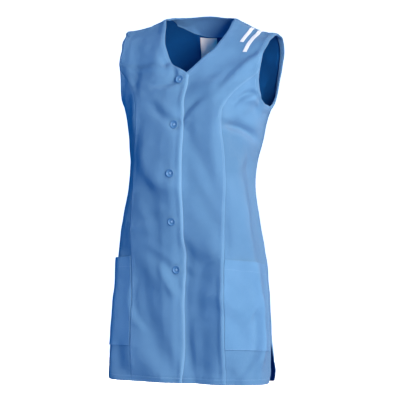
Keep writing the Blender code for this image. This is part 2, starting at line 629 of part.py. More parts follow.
def build():
    for leftover in list(bpy.data.objects):
        bpy.data.objects.remove(leftover, do_unlink=True)
    collection = bpy.data.collections.new("medical_tunic")
    bpy.context.scene.collection.children.link(collection)
    materials = {name: make_material(name) for name in MATERIALS}
    twill = materials["twill_blue"]

    cloth_node("right_front", front_grid(-1), WALL, twill, collection, flip=True)
    cloth_node("left_front", front_grid(1), WALL, twill, collection)
    cloth_node("right_side_front", side_grid(-1), WALL, twill, collection, flip=True)
    cloth_node("left_side_front", side_grid(1), WALL, twill, collection)
    back = back_grid()
    cloth_node("back", back, WALL, twill, collection, flip=True, mirrored=True)
    cloth_node("right_pocket", pocket_grid(-1), TRIM_WALL, twill, collection, flip=True)
    cloth_node("left_pocket", pocket_grid(1), TRIM_WALL, twill, collection)
    cloth_node("back_neck_facing", neck_facing_grid(back), TRIM_WALL, twill, collection,
               flip=True, mirrored=True)
    cloth_node("right_armhole_facing", arm_facing_grid(back, -1), TRIM_WALL, twill, collection)
    cloth_node("left_armhole_facing", arm_facing_grid(back, 1), TRIM_WALL, twill, collection,
               flip=True)
    cloth_node("label", label_grid(back), LABEL_WALL, materials["label_white"], collection, flip=True)
    for name, across_top, across_foot, length, width in TAPES:
        cloth_node(name, tape_grid(across_top, across_foot, length, width), TRIM_WALL,
                   materials["tape_white"], collection)
    for number, run in enumerate(BUTTON_RUNS, start=1):
        button_node(f"button_{number}", run, materials["button_blue"], collection)


build()
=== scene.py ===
"""Looks of the sleeveless medical tunic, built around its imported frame.

Metres, +Z up. The wearer faces -Y and the wearer's left is +X. A point of the cloth is named by its
angle round the body (0 at the centre front, 90 degrees at the side seam) and its run, the metres of
cloth above the hem, as in the part's own source.
"""
import math

import bmesh
import bpy
import numpy as np
from mathutils import Matrix, Vector
from mathutils.bvhtree import BVHTree
from mathutils.kdtree import KDTree


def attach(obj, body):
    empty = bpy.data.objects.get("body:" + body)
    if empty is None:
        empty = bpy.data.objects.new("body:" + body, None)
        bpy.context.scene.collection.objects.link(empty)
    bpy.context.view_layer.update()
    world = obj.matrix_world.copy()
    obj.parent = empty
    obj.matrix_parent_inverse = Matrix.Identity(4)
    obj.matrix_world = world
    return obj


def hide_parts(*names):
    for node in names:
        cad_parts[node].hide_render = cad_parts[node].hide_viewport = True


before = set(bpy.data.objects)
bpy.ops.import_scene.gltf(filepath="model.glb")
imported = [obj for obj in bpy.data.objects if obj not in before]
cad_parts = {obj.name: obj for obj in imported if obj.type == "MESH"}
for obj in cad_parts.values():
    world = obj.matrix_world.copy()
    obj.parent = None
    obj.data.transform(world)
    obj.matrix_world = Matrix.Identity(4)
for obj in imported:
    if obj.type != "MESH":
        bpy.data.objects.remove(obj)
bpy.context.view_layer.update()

# ------------------------------------------------------------------ cloth, shoulders and neck
WALL = 0.0015            # cloth of a panel
TRIM_WALL = 0.0011       # pockets, facings and tapes
LABEL_WALL = 0.0008
SEAM_INSET = 0.0001      # each panel edge from its seam line
SHOULDER_INSET = 0.0003
LAY_GAP = 0.0004         # between a panel and what lies on it
INNER_GAP = 0.0008       # between the back and what lies inside it
NECK_HALF = 0.0785       # half widths across the neck and the shoulders
SHOULDER_HALF = 0.179
SHOULDER_SLOPE = 0.32
SHOULDER_SAG = 0.0035
CREST_ROUND = 0.035      # rounding of the shoulder line at its middle
NAPE_RISE = 0.026        # the back neck stands up by this much
NAPE_WIDTH = 0.095
NAPE_DEPTH = 0.055
NAPE_CURVE = 2.6
LAP_HALF = 0.019         # how far the left front reaches past the centre, under the lap
LAP_BLEND = 0.026        # width over which the right front rises onto it
LAP_CLEAR = 0.001
LAP_GAP = 0.0005
FORM_STEP = 1.0e-4       # step that slopes of the form are taken over

# ------------------------------------------------------------------ runs, side slits and corners
RUN_TOP = 0.820          # shoulder seam
RUN_UNDERARM = 0.595
RUN_JOIN = 0.680         # the princess seam ends in the armhole
RUN_CORNER = {-1: 0.669, 1: 0.655}    # the lap turns into the neckline, right and left front
RUN_NAPE = 0.777
RUN_SLIT = 0.089         # top of the side slits
RUN_TOLERANCE = 1e-6
SLIT_FRONT_SWING = 0.002 # how far the slit's edges swing at the hem
SLIT_BACK_SWING = 0.010
FRONT_SWING_CURVE = 1.5
BACK_SWING_CURVE = 0.7
SWING_FROM = 0.5         # share of the panel's width where the swing starts
BACK_SWING_OUT = 0.10    # share of the back's swing that goes outward
SLIT_FLARE = 0.008       # how far the back turns out along its slit edges
SLIT_FLARE_REACH = 0.026
HEM_CORNER = (0.012, 0.011)           # rounding of the hem corners, width and height
BACK_CORNER = (0.060, 0.020)
CORNER_FADE = {"front": 0.055, "back": 0.100}   # run over which the rounding fades upward

# ------------------------------------------------------------------ the body form
LEVEL_COLUMNS = ("run", "height", "half_width", "side_y", "front", "back",
                 "square_front", "square_back", "shoulder_tilt", "nape")
LEVELS = np.array((
    (0.000, -0.780, 0.187, -0.054, 0.072, 0.101, 3.0, 2.4, 0.00, 0.0),
    (0.080, -0.700, 0.184, -0.052, 0.074, 0.102, 3.0, 2.4, 0.00, 0.0),
    (0.160, -0.620, 0.178, -0.049, 0.078, 0.103, 3.0, 2.4, 0.00, 0.0),
    (0.230, -0.550, 0.170, -0.047, 0.081, 0.110, 2.9, 2.4, 0.00, 0.0),
    (0.290, -0.490, 0.163, -0.047, 0.084, 0.103, 2.8, 2.4, 0.00, 0.0),
    (0.350, -0.430, 0.153, -0.044, 0.096, 0.084, 2.6, 2.4, 0.00, 0.0),
    (0.415, -0.365, 0.142, -0.040, 0.107, 0.077, 2.4, 2.4, 0.00, 0.0),
    (0.480, -0.300, 0.142, -0.028, 0.120, 0.078, 2.3, 2.4, 0.00, 0.0),
    (0.530, -0.250, 0.150, -0.020, 0.126, 0.085, 2.2, 2.5, 0.00, 0.0),
    (0.570, -0.210, 0.161, -0.018, 0.121, 0.091, 2.1, 2.3, 0.00, 0.0),
    (0.632, -0.150, 0.187, -0.004, 0.115, 0.083, 2.0, 2.1, 0.00, 0.0),
    (0.684, -0.100, 0.210, 0.000, 0.098, 0.079, 2.0, 2.2, 0.05, 0.3),
    (0.730, -0.060, 0.228, 0.000, 0.062, 0.070, 2.2, 2.7, 0.25, 1.0),
    (0.770, -0.030, 0.240, 0.000, 0.031, 0.052, 3.0, 2.8, 0.50, 1.0),
    (0.800, -0.010, 0.247, 0.000, 0.011, 0.030, 3.0, 3.0, 0.85, 1.0),
    (0.811, -0.003, 0.249, 0.000, 0.006, 0.015, 3.0, 3.0, 0.95, 1.0),
    (0.816, -0.001, 0.250, 0.000, 0.003, 0.006, 3.0, 3.0, 1.00, 1.0),
    (0.820, 0.000, 0.250, 0.000, 0.000, 0.000, 3.0, 3.0, 1.00, 1.0),
))
NECK_COLUMNS = ("run", "right_across", "left_across")
NECKLINE = np.array((
    (0.655, -0.0200, -0.0190), (0.669, -0.0170, 0.0010), (0.676, -0.0084, 0.0096),
    (0.690, 0.0235, 0.0228), (0.704, 0.0380, 0.0370), (0.716, 0.0460, 0.0490),
    (0.730, 0.0545, 0.0595), (0.749, 0.0620, 0.0660), (0.778, 0.0700, 0.0735),
    (0.807, 0.0765, 0.0769), (0.820, 0.0785, 0.0785)))
LAP_COLUMNS = ("run", "past_centre")
RIGHT_LAP = np.array((
    (0.000, 0.0120), (0.100, 0.0138), (0.210, 0.0160), (0.295, 0.0199), (0.380, 0.0232),
    (0.460, 0.0218), (0.540, 0.0222), (0.571, 0.0190), (0.605, 0.0160), (0.669, 0.0170)))
PRINCESS_COLUMNS = ("run", "across")
PRINCESS = np.array((
    (0.000, 0.1155), (0.150, 0.1150), (0.260, 0.1120), (0.400, 0.1115), (0.500, 0.1070),
    (0.560, 0.1015), (0.590, 0.1015), (0.608, 0.1075), (0.632, 0.1227), (0.652, 0.1410),
    (0.667, 0.1580)))
SIDE_SEAM_COLUMNS = ("run", "angle_deg")
SIDE_SEAM = np.array((
    (0.000, 96.0), (0.150, 100.0), (0.300, 101.0), (0.450, 99.0), (0.550, 94.0), (0.595, 90.0)))
ARMHOLE_COLUMNS = ("run", "angle_deg")
ARMHOLE_FRONT = np.array((
    (0.595, 90.0), (0.6009, 78.7), (0.611, 69.3), (0.628, 62.9), (0.652, 57.4), (0.680, 53.3),
    (0.709, 49.4), (0.734, 45.3), (0.770, 40.3)))
ARMHOLE_BACK = np.array((
    (0.595, 90.0), (0.600, 97.0), (0.612, 108.0), (0.632, 116.0), (0.673, 125.0),
    (0.720, 134.5), (0.770, 138.3)))

# ------------------------------------------------------------------ folds and creases
# A line as seen from seen_deg round to the wearer's left of the front: across that view and height
# at both ends, how far its middle bows to the side, half width, depth along the line (minus is a
# trough) and the step from one side of it down to the other.
# columns: seen_deg, across_a, height_a, across_b, height_b, bow, half_width, depth, step
FOLDS = (
    # lines of the largest folds, which the part's own solids have too: on the front, the creases
    # further down take up most of their depth
    (25.0, 0.115, -0.090, -0.012, -0.200, 0.000, 0.0200, -0.0010, 0.0000),
    (25.0, -0.105, -0.175, -0.062, -0.215, 0.000, 0.0200, -0.0010, 0.0000),
    (25.0, 0.030, -0.150, -0.036, -0.215, 0.000, 0.0180, -0.0010, 0.0000),
    (25.0, -0.118, -0.060, -0.125, -0.170, 0.000, 0.0200, -0.0010, 0.0000),
    (25.0, 0.048, -0.200, 0.118, -0.245, 0.000, 0.0200, -0.0010, 0.0000),
    (25.0, -0.040, -0.480, 0.046, -0.530, 0.000, 0.0220, -0.0010, 0.0000),
    (25.0, 0.002, -0.590, 0.030, -0.720, 0.000, 0.0220, -0.0010, 0.0000),
    (25.0, -0.140, -0.600, -0.070, -0.760, 0.000, 0.0240, -0.0035, 0.0000),
    (25.0, -0.132, -0.350, -0.088, -0.395, 0.000, 0.0200, -0.0035, 0.0000),
    (155.0, -0.080, -0.360, 0.060, -0.420, 0.006, 0.0150, -0.0042, -0.0022),
    (180.0, 0.070, -0.330, -0.050, -0.370, 0.004, 0.0130, -0.0036, -0.0016),
    (200.0, 0.060, -0.560, 0.090, -0.740, 0.002, 0.0180, -0.0042, -0.0028),
    (180.0, -0.060, -0.520, -0.080, -0.730, 0.003, 0.0180, -0.0042, 0.0028),
    (180.0, 0.110, -0.120, 0.060, -0.230, 0.004, 0.0150, -0.0038, -0.0024),
    (180.0, -0.120, -0.130, -0.070, -0.220, 0.004, 0.0150, -0.0034, 0.0022),
    # creases of the back and the far side, made up like those of the front
    (200.0, -0.070, -0.300, 0.055, -0.345, 0.005, 0.0120, -0.0034, 0.0016),
    (180.0, 0.090, -0.372, 0.010, -0.402, 0.003, 0.0100, -0.0030, -0.0014),
    (180.0, -0.095, -0.405, -0.015, -0.432, 0.003, 0.0110, -0.0030, 0.0014),
    (165.0, -0.005, -0.590, 0.004, -0.755, 0.003, 0.0160, -0.0032, 0.0026),
    (180.0, 0.044, -0.470, 0.056, -0.610, 0.004, 0.0140, -0.0028, -0.0022),
    (180.0, -0.028, -0.100, -0.052, -0.240, 0.005, 0.0170, -0.0024, 0.0020),
    (180.0, 0.020, -0.150, 0.050, -0.275, 0.006, 0.0160, -0.0022, -0.0018),
    (250.0, -0.030, -0.245, 0.050, -0.330, 0.005, 0.0130, -0.0032, -0.0018),
    (250.0, 0.012, -0.500, 0.030, -0.610, 0.003, 0.0150, -0.0030, 0.0020),
    (180.0, -0.058, -0.012, -0.030, -0.066, 0.003, 0.0080, -0.0012, -0.0010),
    (180.0, -0.018, -0.020, -0.004, -0.070, 0.002, 0.0070, -0.0010, -0.0008),
    (180.0, 0.048, -0.018, 0.026, -0.068, 0.003, 0.0080, -0.0012, 0.0010),
    # creases of the front: the lines were placed by eye, then a separate fitting program changed
    # every number after seen_deg, so that the shading comes near the photograph's light and dark
    (25.0, 0.110, -0.071, 0.003, -0.154, 0.016, 0.0260, -0.0040, -0.0036),
    (25.0, 0.034, -0.112, -0.037, -0.152, 0.009, 0.0231, -0.0040, -0.0036),
    (25.0, 0.003, -0.166, -0.048, -0.217, 0.006, 0.0116, -0.0040, -0.0036),
    (25.0, -0.103, -0.177, -0.038, -0.219, 0.005, 0.0142, -0.0009, -0.0036),
    (25.0, -0.097, -0.145, -0.055, -0.100, 0.017, 0.0110, -0.0040, 0.0036),
    (25.0, -0.078, -0.101, -0.061, -0.088, -0.003, 0.0118, -0.0040, 0.0036),
    (25.0, 0.007, 0.119, -0.122, -0.152, 0.025, 0.0228, 0.0032, -0.0036),
    (25.0, -0.151, -0.059, -0.138, -0.136, 0.007, 0.0095, 0.0019, 0.0011),
    (25.0, -0.170, -0.077, -0.164, -0.308, -0.025, 0.0096, 0.0016, 0.0019),
    (25.0, -0.133, -0.262, -0.076, -0.367, 0.025, 0.0241, 0.0032, -0.0036),
    (25.0, -0.040, -0.180, 0.027, -0.333, 0.008, 0.0227, -0.0040, -0.0032),
    (25.0, 0.044, -0.134, 0.045, -0.258, 0.012, 0.0244, 0.0032, 0.0035),
    (25.0, 0.052, -0.219, 0.153, -0.314, -0.025, 0.0095, -0.0040, -0.0036),
    (25.0, 0.073, -0.171, 0.131, -0.181, -0.025, 0.0095, -0.0035, -0.0036),
    (25.0, 0.143, -0.276, 0.054, -0.214, 0.016, 0.0133, -0.0040, 0.0036),
    (25.0, -0.039, -0.476, 0.030, -0.506, 0.015, 0.0227, -0.0025, -0.0036),
    (25.0, -0.023, -0.481, 0.003, -0.556, 0.009, 0.0260, -0.0040, -0.0036),
    (25.0, -0.016, -0.601, 0.095, -0.656, -0.020, 0.0260, 0.0032, -0.0036),
    (25.0, -0.040, -0.526, -0.012, -0.652, -0.023, 0.0182, 0.0009, -0.0019),
    (25.0, -0.119, -0.511, -0.093, -0.683, 0.008, 0.0207, -0.0034, -0.0031),
    (25.0, -0.118, -0.710, 0.021, -0.873, 0.002, 0.0260, 0.0026, 0.0036),
    (25.0, -0.144, -0.559, -0.125, -0.662, 0.018, 0.0103, -0.0021, 0.0018),
    (25.0, 0.044, -0.469, 0.053, -0.753, -0.015, 0.0260, 0.0032, 0.0031),
    (25.0, -0.036, -0.531, -0.043, -0.780, -0.019, 0.0252, -0.0040, -0.0036),
    (25.0, -0.073, -0.487, -0.076, -0.782, 0.002, 0.0111, -0.0017, 0.0010),
    (25.0, 0.014, -0.454, 0.139, -0.610, 0.015, 0.0260, 0.0032, 0.0010),
    (25.0, 0.104, -0.639, 0.131, -0.643, -0.025, 0.0213, 0.0032, -0.0027),
    (25.0, -0.200, -0.715, -0.130, -0.782, 0.024, 0.0228, -0.0034, 0.0036),
    (25.0, -0.027, -0.621, -0.030, -0.762, 0.013, 0.0188, -0.0037, 0.0007),
    (25.0, 0.083, -0.770, 0.119, -0.624, 0.024, 0.0112, 0.0032, 0.0036),
    (25.0, -0.051, -0.264, -0.058, -0.546, -0.002, 0.0219, 0.0032, 0.0036),
    (25.0, -0.133, -0.433, -0.080, -0.493, -0.019, 0.0260, 0.0032, 0.0027),
    (25.0, -0.128, -0.475, -0.059, -0.531, -0.005, 0.0128, 0.0025, -0.0006),
    (25.0, 0.043, -0.177, 0.122, -0.545, -0.010, 0.0202, 0.0032, 0.0036),
    (25.0, 0.098, -0.306, 0.142, -0.586, 0.004, 0.0168, -0.0040, 0.0036),
    (25.0, -0.086, -0.277, -0.077, -0.445, 0.008, 0.0156, 0.0032, 0.0012),
    (25.0, 0.138, -0.061, 0.037, -0.147, 0.005, 0.0115, 0.0032, -0.0036),
    (25.0, 0.015, -0.254, 0.050, -0.391, 0.003, 0.0218, 0.0032, -0.0036),
    (25.0, -0.106, 0.035, -0.179, -0.360, -0.001, 0.0149, 0.0032, -0.0024),
    (25.0, -0.001, -0.487, -0.006, -0.833, -0.006, 0.0228, -0.0040, -0.0036),
    (25.0, -0.026, -0.510, -0.014, -0.781, 0.012, 0.0150, -0.0040, -0.0029),
    (25.0, 0.047, -0.535, 0.048, -0.748, 0.003, 0.0095, 0.0032, -0.0012),
    (25.0, 0.114, -0.545, 0.119, -0.759, -0.010, 0.0095, 0.0032, -0.0036),
    (25.0, 0.099, -0.418, 0.095, -0.771, 0.025, 0.0260, 0.0032, 0.0036),
    (25.0, -0.083, -0.520, -0.052, -0.586, -0.000, 0.0108, 0.0019, 0.0036),
    (25.0, -0.092, -0.573, -0.072, -0.710, 0.001, 0.0167, -0.0008, -0.0016),
    (25.0, 0.091, -0.174, 0.130, -0.198, -0.014, 0.0133, 0.0032, -0.0036),
    (25.0, 0.108, -0.303, 0.152, -0.702, -0.007, 0.0096, -0.0040, -0.0036),
    (25.0, -0.031, -0.001, -0.068, -0.151, 0.025, 0.0260, 0.0001, 0.0036),
    (25.0, -0.110, -0.053, -0.226, -0.121, -0.024, 0.0258, -0.0001, 0.0027),
    (25.0, -0.139, -0.447, -0.048, -0.568, 0.018, 0.0260, 0.0032, 0.0029),
    (25.0, -0.128, -0.397, -0.127, -0.543, -0.023, 0.0167, 0.0021, 0.0010),
    (25.0, -0.028, -0.308, 0.038, -0.438, -0.001, 0.0260, -0.0040, -0.0028),
    (25.0, 0.053, -0.231, 0.067, -0.319, -0.024, 0.0217, 0.0032, -0.0036),
    (25.0, 0.027, -0.490, 0.020, -0.851, -0.000, 0.0260, 0.0032, -0.0036),
    (25.0, -0.167, -0.466, -0.177, -0.755, -0.011, 0.0260, -0.0040, -0.0021),
    (25.0, -0.009, -0.065, -0.023, -0.240, 0.001, 0.0260, -0.0040, -0.0029),
    (25.0, 0.098, -0.073, 0.013, -0.257, 0.013, 0.0260, 0.0032, -0.0036),
    (25.0, 0.039, -0.220, 0.134, -0.145, 0.013, 0.0183, 0.0032, -0.0036),
    (25.0, -0.050, -0.675, 0.080, -0.765, 0.025, 0.0260, -0.0040, -0.0008),
    (25.0, 0.039, -0.154, 0.063, -0.514, -0.002, 0.0095, -0.0006, -0.0008),
)

FOLD_FADE = 0.25         # share of its length over which a fold dies away, at both ends
FOLD_FACING = (0.32, 0.72)    # a fold shows where the cloth faces its view by this much
STEP_PEAK = 2.33         # brings the two sides of a step to its full height
# slight unevenness of worn cloth; columns: seed, size of its features, height
UNEVEN = ((11, 0.120, 0.00110), (12, 0.050, 0.00045), (13, 0.024, 0.00022))
WANDER_WAVES = 11
WANDER_SPREAD = (0.6, 1.3)    # how much finer or coarser its waves are

# ------------------------------------------------------------------ edges and rows of stitches
# reach: to the stitch line; rise of the layers up to it; width and depth of the roll at the edge;
# depth of the groove at the stitches; height of the puckers
# columns: reach, rise, roll, sink, groove, pucker
EDGE_STYLES = {
    "placket": (0.0058, 0.0028, 0.0014, 0.0008, 0.0001, 0.00010),
    "under_lap": (0.0060, 0.0004, 0.0016, 0.0006, 0.0002, 0.00006),
    "neck": (0.0070, 0.0014, 0.0018, 0.0008, 0.0003, 0.00022),
    "armhole": (0.0080, 0.0022, 0.0018, 0.0007, 0.0003, 0.00012),
    "pressed": (0.0060, 0.0018, 0.0012, 0.0003, 0.0001, 0.00014),
    "pressed_flat": (0.0060, 0.0009, 0.0014, 0.0006, 0.0002, 0.00016),
    "under": (0.0040, 0.0000, 0.0010, 0.0002, 0.0000, 0.00016),
    "seam": (0.0050, 0.0004, 0.0016, 0.0009, 0.0000, 0.00022),
    "turned": (0.0060, 0.0006, 0.0018, 0.0008, 0.0003, 0.00010),
    "hem": (0.0120, 0.0016, 0.0016, 0.0008, 0.0009, 0.00026),
    "dart": (0.0040, 0.0004, 0.0014, 0.0010, 0.0000, 0.00010),
    "patch": (0.0022, 0.0005, 0.0011, 0.0008, 0.0003, 0.00012),
    "caught": (0.0040, 0.0000, 0.0006, 0.0001, 0.0000, 0.00000),
    "mouth": (0.0220, 0.0004, 0.0012, 0.0007, 0.0004, 0.00012),
    "plain": (0.0020, 0.0002, 0.0008, 0.0004, 0.0000, 0.00000),
}
# distances of the rows of stitches from each edge that shows them
STITCHED = {
    "placket": (0.0018, 0.0062), "under_lap": (0.0060,), "neck": (0.0070,), "armhole": (0.0080,),
    "pressed": (0.0060,), "pressed_flat": (0.0060,), "turned": (0.0060,), "hem": (0.0120,),
    "patch": (0.0022,), "mouth": (0.0220,), "plain": (0.0020,),
}
CREST = 0.8              # place of the highest line of a sewn edge, as a share of its reach
CREST_END = 2.6          # place where its layers have died away
GROOVE_HALF = 0.0011
PUCKER_PITCH = 0.012
PUCKER_SPREAD = (0.7, 1.9)    # how much closer or wider apart its waves are
PUCKER_WAVES = 4
PUCKER_REACH = 0.008
# painted highlight along folded edges: how much, where, and over what half width
EDGE_HIGHLIGHT = {"placket": 0.65, "pressed": 0.28, "neck": 0.12, "hem": 0.12}
HIGHLIGHT_FROM = 0.0008
HIGHLIGHT_HALF = 0.0020
LINE_STEP = 0.001        # spacing of the places that distances to a line are taken from
STITCH_GUIDE_STEP = 0.002
STITCH_CLEAR = 0.0006    # a row of stitches ends this near another row
STITCH_LENGTH = 0.0024
STITCH_PITCH = 0.0029
STITCH_SIDES = (6, 4)    # round a stitch and along it
# smallest and largest stitch beside a plain one: thickness both ways, length
STITCH_UNEVEN = ((0.9, 0.9, 0.9), (1.1, 1.1, 1.08))
SHORTEST_ROW = 4         # fewest points of a row's guide line
THREAD_THICKNESS = 0.00042
THREAD_LIFT = 0.00005
# seeds of the puckers: right pieces take one less, left ones one more
SEEDS = {"front": 3, "side_front": 7, "back": 17, "pocket": 23, "neck_facing": 41,
         "arm_facing": 43, "label": 47, "stripe": 53}
SEED_STRIDE = 31         # room for the edges of a piece between the seeds

# ------------------------------------------------------------------ grids
# distances of the grid lines beside an edge: of a panel, a patch pocket and a tape
EDGE_LINES = (0.0, 0.0005, 0.0012, 0.0020, 0.0030, 0.0042, 0.0054, 0.0065, 0.0075, 0.0086,
              0.0100, 0.0120, 0.0140)
PATCH_LINES = (0.0, 0.0005, 0.0011, 0.0018, 0.0026, 0.0036)
TAPE_LINES = (0.0, 0.0004, 0.0009, 0.0016)
ROW_PITCH = 0.0028
COLUMN_PITCH = 0.0028
BACK_PITCH = 0.0031
NECK_PITCH = 0.0014      # finer rows where the lap turns into the neckline
NECK_ROWS_BELOW = 0.022
NECK_ROWS_TO = 0.712
TAPE_ROW_PITCH = 0.002
TAPE_COLUMN_PITCH = 0.001
# rough spans of the pieces, which the grids' spacing is worked out from
FRONT_WIDTH = 0.125
SIDE_WIDTH = 0.110
SIDE_HEIGHT = 0.640
HALF_BACK = 0.205
BACK_HEIGHT = 0.800
POCKET_WIDTH = 0.095
POCKET_HEIGHT = 0.190
NECK_FACING_HALF = 0.080
NECK_FACING_DEEP = 0.060
ARM_FACING_TALL = 0.200
ARM_FACING_LINES = 7
LABEL_GRID = (26, 22)
ARM_POINTS = 400         # points that an armhole's length is measured over
# counts of the part's own rows and columns, which set how the side fronts and the back run
SIDE_ROWS = 36
BACK_ARM_ROWS = 16
BACK_COLUMNS = 13
NECK_SHARE = 5
CREST_ROW = 0.006
LEAST_ACROSS = 1e-9      # just off the centre back, where the angle is taken from its side

# ------------------------------------------------------------------ facings, darts and pockets
FACING_REACH = 0.031     # the front facings end this far from the centre front
FACING_RISE = 0.0004
FACING_BLEND = 0.0022
DART_RUNS = (0.330, 0.560)
DART_SHARE = 0.42        # place of the back darts, centre back to side
POCKET_TOP_PRINCESS = 0.271
POCKET_TOP_SIDE = 0.256
POCKET_FOOT_PRINCESS = 0.0765
POCKET_FOOT_SIDE = 0.0710
POCKET_INSET = 0.0002    # of its edge that the princess seam catches
POCKET_SIDE_INSET = 0.010
POCKET_CLEAR = 0.0003
POCKET_MOUTH_GAPE = 0.004
POCKET_GAPE_FROM = 0.6
POCKET_LAYERS = 0.0010   # the front stands this much higher where its seam takes in the pocket
POCKET_LAYER_REACH = 0.012
POCKET_FOOT_EASE = (0.070, 0.078)
POCKET_TOP_EASE = (0.270, 0.274)
# the facings and the label inside the back, counted in the part's own rows and columns
FACING_ROWS_CENTRE = 4.6
FACING_ROWS_SHOULDER = 3.6
FACING_TOP_INSET = 0.07
ARM_FACING_FROM = 1.0
ARM_FACING_TO = 1.5
ARM_FACING_INSET = 0.06
ARM_FACING_WIDE = 0.85
ARM_FACING_NARROW = 0.40
ARM_FACING_TAPER = 5.0
LABEL_COLUMNS = (-2.2, 0.35)
LABEL_ROWS = (7.2, 4.7)
# tapes on the left shoulder; columns: name, across_top, across_foot, length, width
TAPES = (
    ("shoulder_stripe_inner", 0.1240, 0.1140, 0.062, 0.0078),
    ("shoulder_stripe_outer", 0.1435, 0.1270, 0.089, 0.0088),
)
TAPE_START = 0.0015      # below the shoulder seam

# ------------------------------------------------------------------ buttons
# columns: run, turn_deg, how the button lies
BUTTONS = ((0.657, 12.0), (0.559, 31.0), (0.4545, -8.0), (0.351, 20.0), (0.245, 40.0))
BUTTONED = "right_front"
# outline from the middle of the underside to the middle of the face; columns: radius, height
BUTTON_PROFILE = (
    (0.0000, 0.0000), (0.0050, 0.0001), (0.0072, 0.0005), (0.0084, 0.0012), (0.0090, 0.0020),
    (0.0091, 0.0026), (0.0089, 0.0032), (0.0084, 0.0036), (0.0077, 0.0036), (0.0071, 0.0032),
    (0.0066, 0.0024), (0.0061, 0.0016), (0.0054, 0.0013), (0.0000, 0.0013))
BUTTON_SIDES = 64
BUTTON_RADIUS = 0.0091
BUTTON_DOME = 0.0014     # rise of its underside out to the rim, where the cloth is felt for
BUTTON_LIFT = 0.0007     # above the place where it would touch the cloth
BUTTON_PRESS = 0.0011    # a higher fold beside its middle is pressed down by the button
BUTTON_HOLD = 0.0108     # radius within which a fastened button holds its cloth level
SEAT_RINGS = (0.0, 0.5, 0.9)  # shares of its radius where the cloth is felt for
SEAT_TURNS = 12
SEAT_PROBE = 0.030       # height that the cloth is felt for from
SHARP_DEGREES = 50.0
HOLE_RADIUS = 0.00105
HOLE_OFF = 0.0019        # the four holes from the middle, both ways
HOLE_SIDES = 16
DRILL_DEPTH = 0.006
DRILL_HEIGHT = 0.001
STRAND_HEIGHT = 0.0014   # thread over the face, between holes that lie across from each other
STRAND_APART = 0.6       # of a thread's thickness, to both sides
STRAND_SHAPE = (1.55, 0.75, 1.2)      # length by HOLE_OFF, width and height by a thread's thickness
STRAND_SIDES = (12, 8)
SHANK_RADIUS = 0.0022    # thread wound under the button, down into the cloth
SHANK_LENGTH = 0.0030
SHANK_TOP = 0.0004
SHANK_TAPER = 0.85
SHANK_SIDES = 16

# ------------------------------------------------------------------ finishes
TWILL_PITCH = 0.0012     # between the ribs
TWILL_DEPTH = 0.00016
# columns: pitch, depth, slope
TAPE_WEAVE = (0.0010, 0.00012, 0.6)
RIBBON_WEAVE = (0.0008, 0.00010, 0.0)
THREAD_SHARE = 0.42      # thread spacing as a share of the rib spacing
THREAD_WEIGHT = 0.4      # height of the threads beside the ribs
SLUB_STRETCH = (1.0, 0.12, 1.0)
SLUB_SCALE = 900.0       # thick places in the yarn, about 1 mm
SLUB_DEPTH = 0.00012
DYE_SCALE = 14.0         # clouds in the dye, about 70 mm
SLUB_TONE = 0.35         # how much slubs and weave change the tone, beside the dye
WEAVE_TONE = 0.10
TONE_FROM = 0.35         # lowest of their sum that turns paler
CLOUD_SCALE = 160.0      # clouds in a cast button, about 6 mm
GRAIN_SCALE = 2500.0     # its tumbled grain, about 0.4 mm
GRAIN_DEPTH = 0.0001
PLY_SCALE = 3000.0       # plies of the thread, about 0.3 mm
PLY_DEPTH = 0.0001
PAPER_SCALE = 3.0        # clouds in the backdrop paper, about 0.3 m
# colour of the painted highlight along folded edges
HIGHLIGHT_COLOUR = "#88BBE2"
CLOTH_FINISH = {"Roughness": 0.80, "Sheen_Weight": 0.12, "Sheen_Roughness": 0.4, "IOR": 1.40,
                "Specular_IOR_Level": 0.30}

# ------------------------------------------------------------------ camera, floor and light
VIEW_AZIMUTH = 25.0
VIEW_ELEVATION = 3.3
VIEW_DISTANCE = 9.7
VIEW_TARGET = (0.0, 0.0, -0.390)
VIEW_SHIFT = (-0.0025, -0.0015)
VIEW_END = 60.0          # the camera sees this far
LENS_MM = 402.0
SENSOR_MM = 36.0
FLOOR_HEIGHT = -1.05
FLOOR_REACH = 11.5       # the backdrop stands beyond the camera, all round
FLOOR_RINGS = (0.25, 0.5, 0.75, 1.0)
SWEEP_ROUND = 2.0        # radius of the sweep from floor to wall
SWEEP_FROM = 0.1         # angle of its first line, radians
SWEEP_LINES = 12
WALL_HEIGHT = 9.0
STAGE_SIDES = 96
PAPER_GLOW = 1.0         # the backdrop is lit from behind as well
# columns: name, azimuth_deg, elevation_deg, distance, size, watts, colour
LIGHTS = (
    ("key", 44.0, 9.0, 3.4, 1.2, 136.0, "#FFEDD8"),
    ("top", 62.0, 42.0, 3.4, 0.9, 36.0, "#FFEDD8"),
    ("side", 100.0, 4.0, 3.4, 1.6, 34.0, "#FFEDD8"),
    ("back", 205.0, 10.0, 3.4, 1.6, 110.0, "#FFEDD8"),
)
WORLD_STRENGTH = 0.58
WORLD_COLOUR = "#38AAFF"


# ------------------------------------------------------------------ form, seams and outlines
def hand(side):
    """The wearer's right is -1, the left is 1."""
    return "right" if side < 0 else "left"


def column(table, columns, name):
    return table[:, columns.index(name)]


def spline(knots, values, at):
    """Smooth curve through the knots, with slopes shared between neighbours."""
    knots = np.asarray(knots, float)
    values = np.asarray(values, float)
    at = np.asarray(at, float)
    gaps = np.diff(knots)
    rates = np.diff(values) / gaps
    slopes = np.empty_like(values)
    slopes[0] = rates[0]
    slopes[-1] = rates[-1]
    share = gaps[1:] / (gaps[1:] + gaps[:-1])
    slopes[1:-1] = share * rates[:-1] + (1.0 - share) * rates[1:]
    index = np.clip(np.searchsorted(knots, at) - 1, 0, len(knots) - 2)
    gap = gaps[index]
    t = (at - knots[index]) / gap
    return ((2 * t ** 3 - 3 * t ** 2 + 1) * values[index]
            + (t ** 3 - 2 * t ** 2 + t) * gap * slopes[index]
            + (3 * t ** 2 - 2 * t ** 3) * values[index + 1]
            + (t ** 3 - t ** 2) * gap * slopes[index + 1])


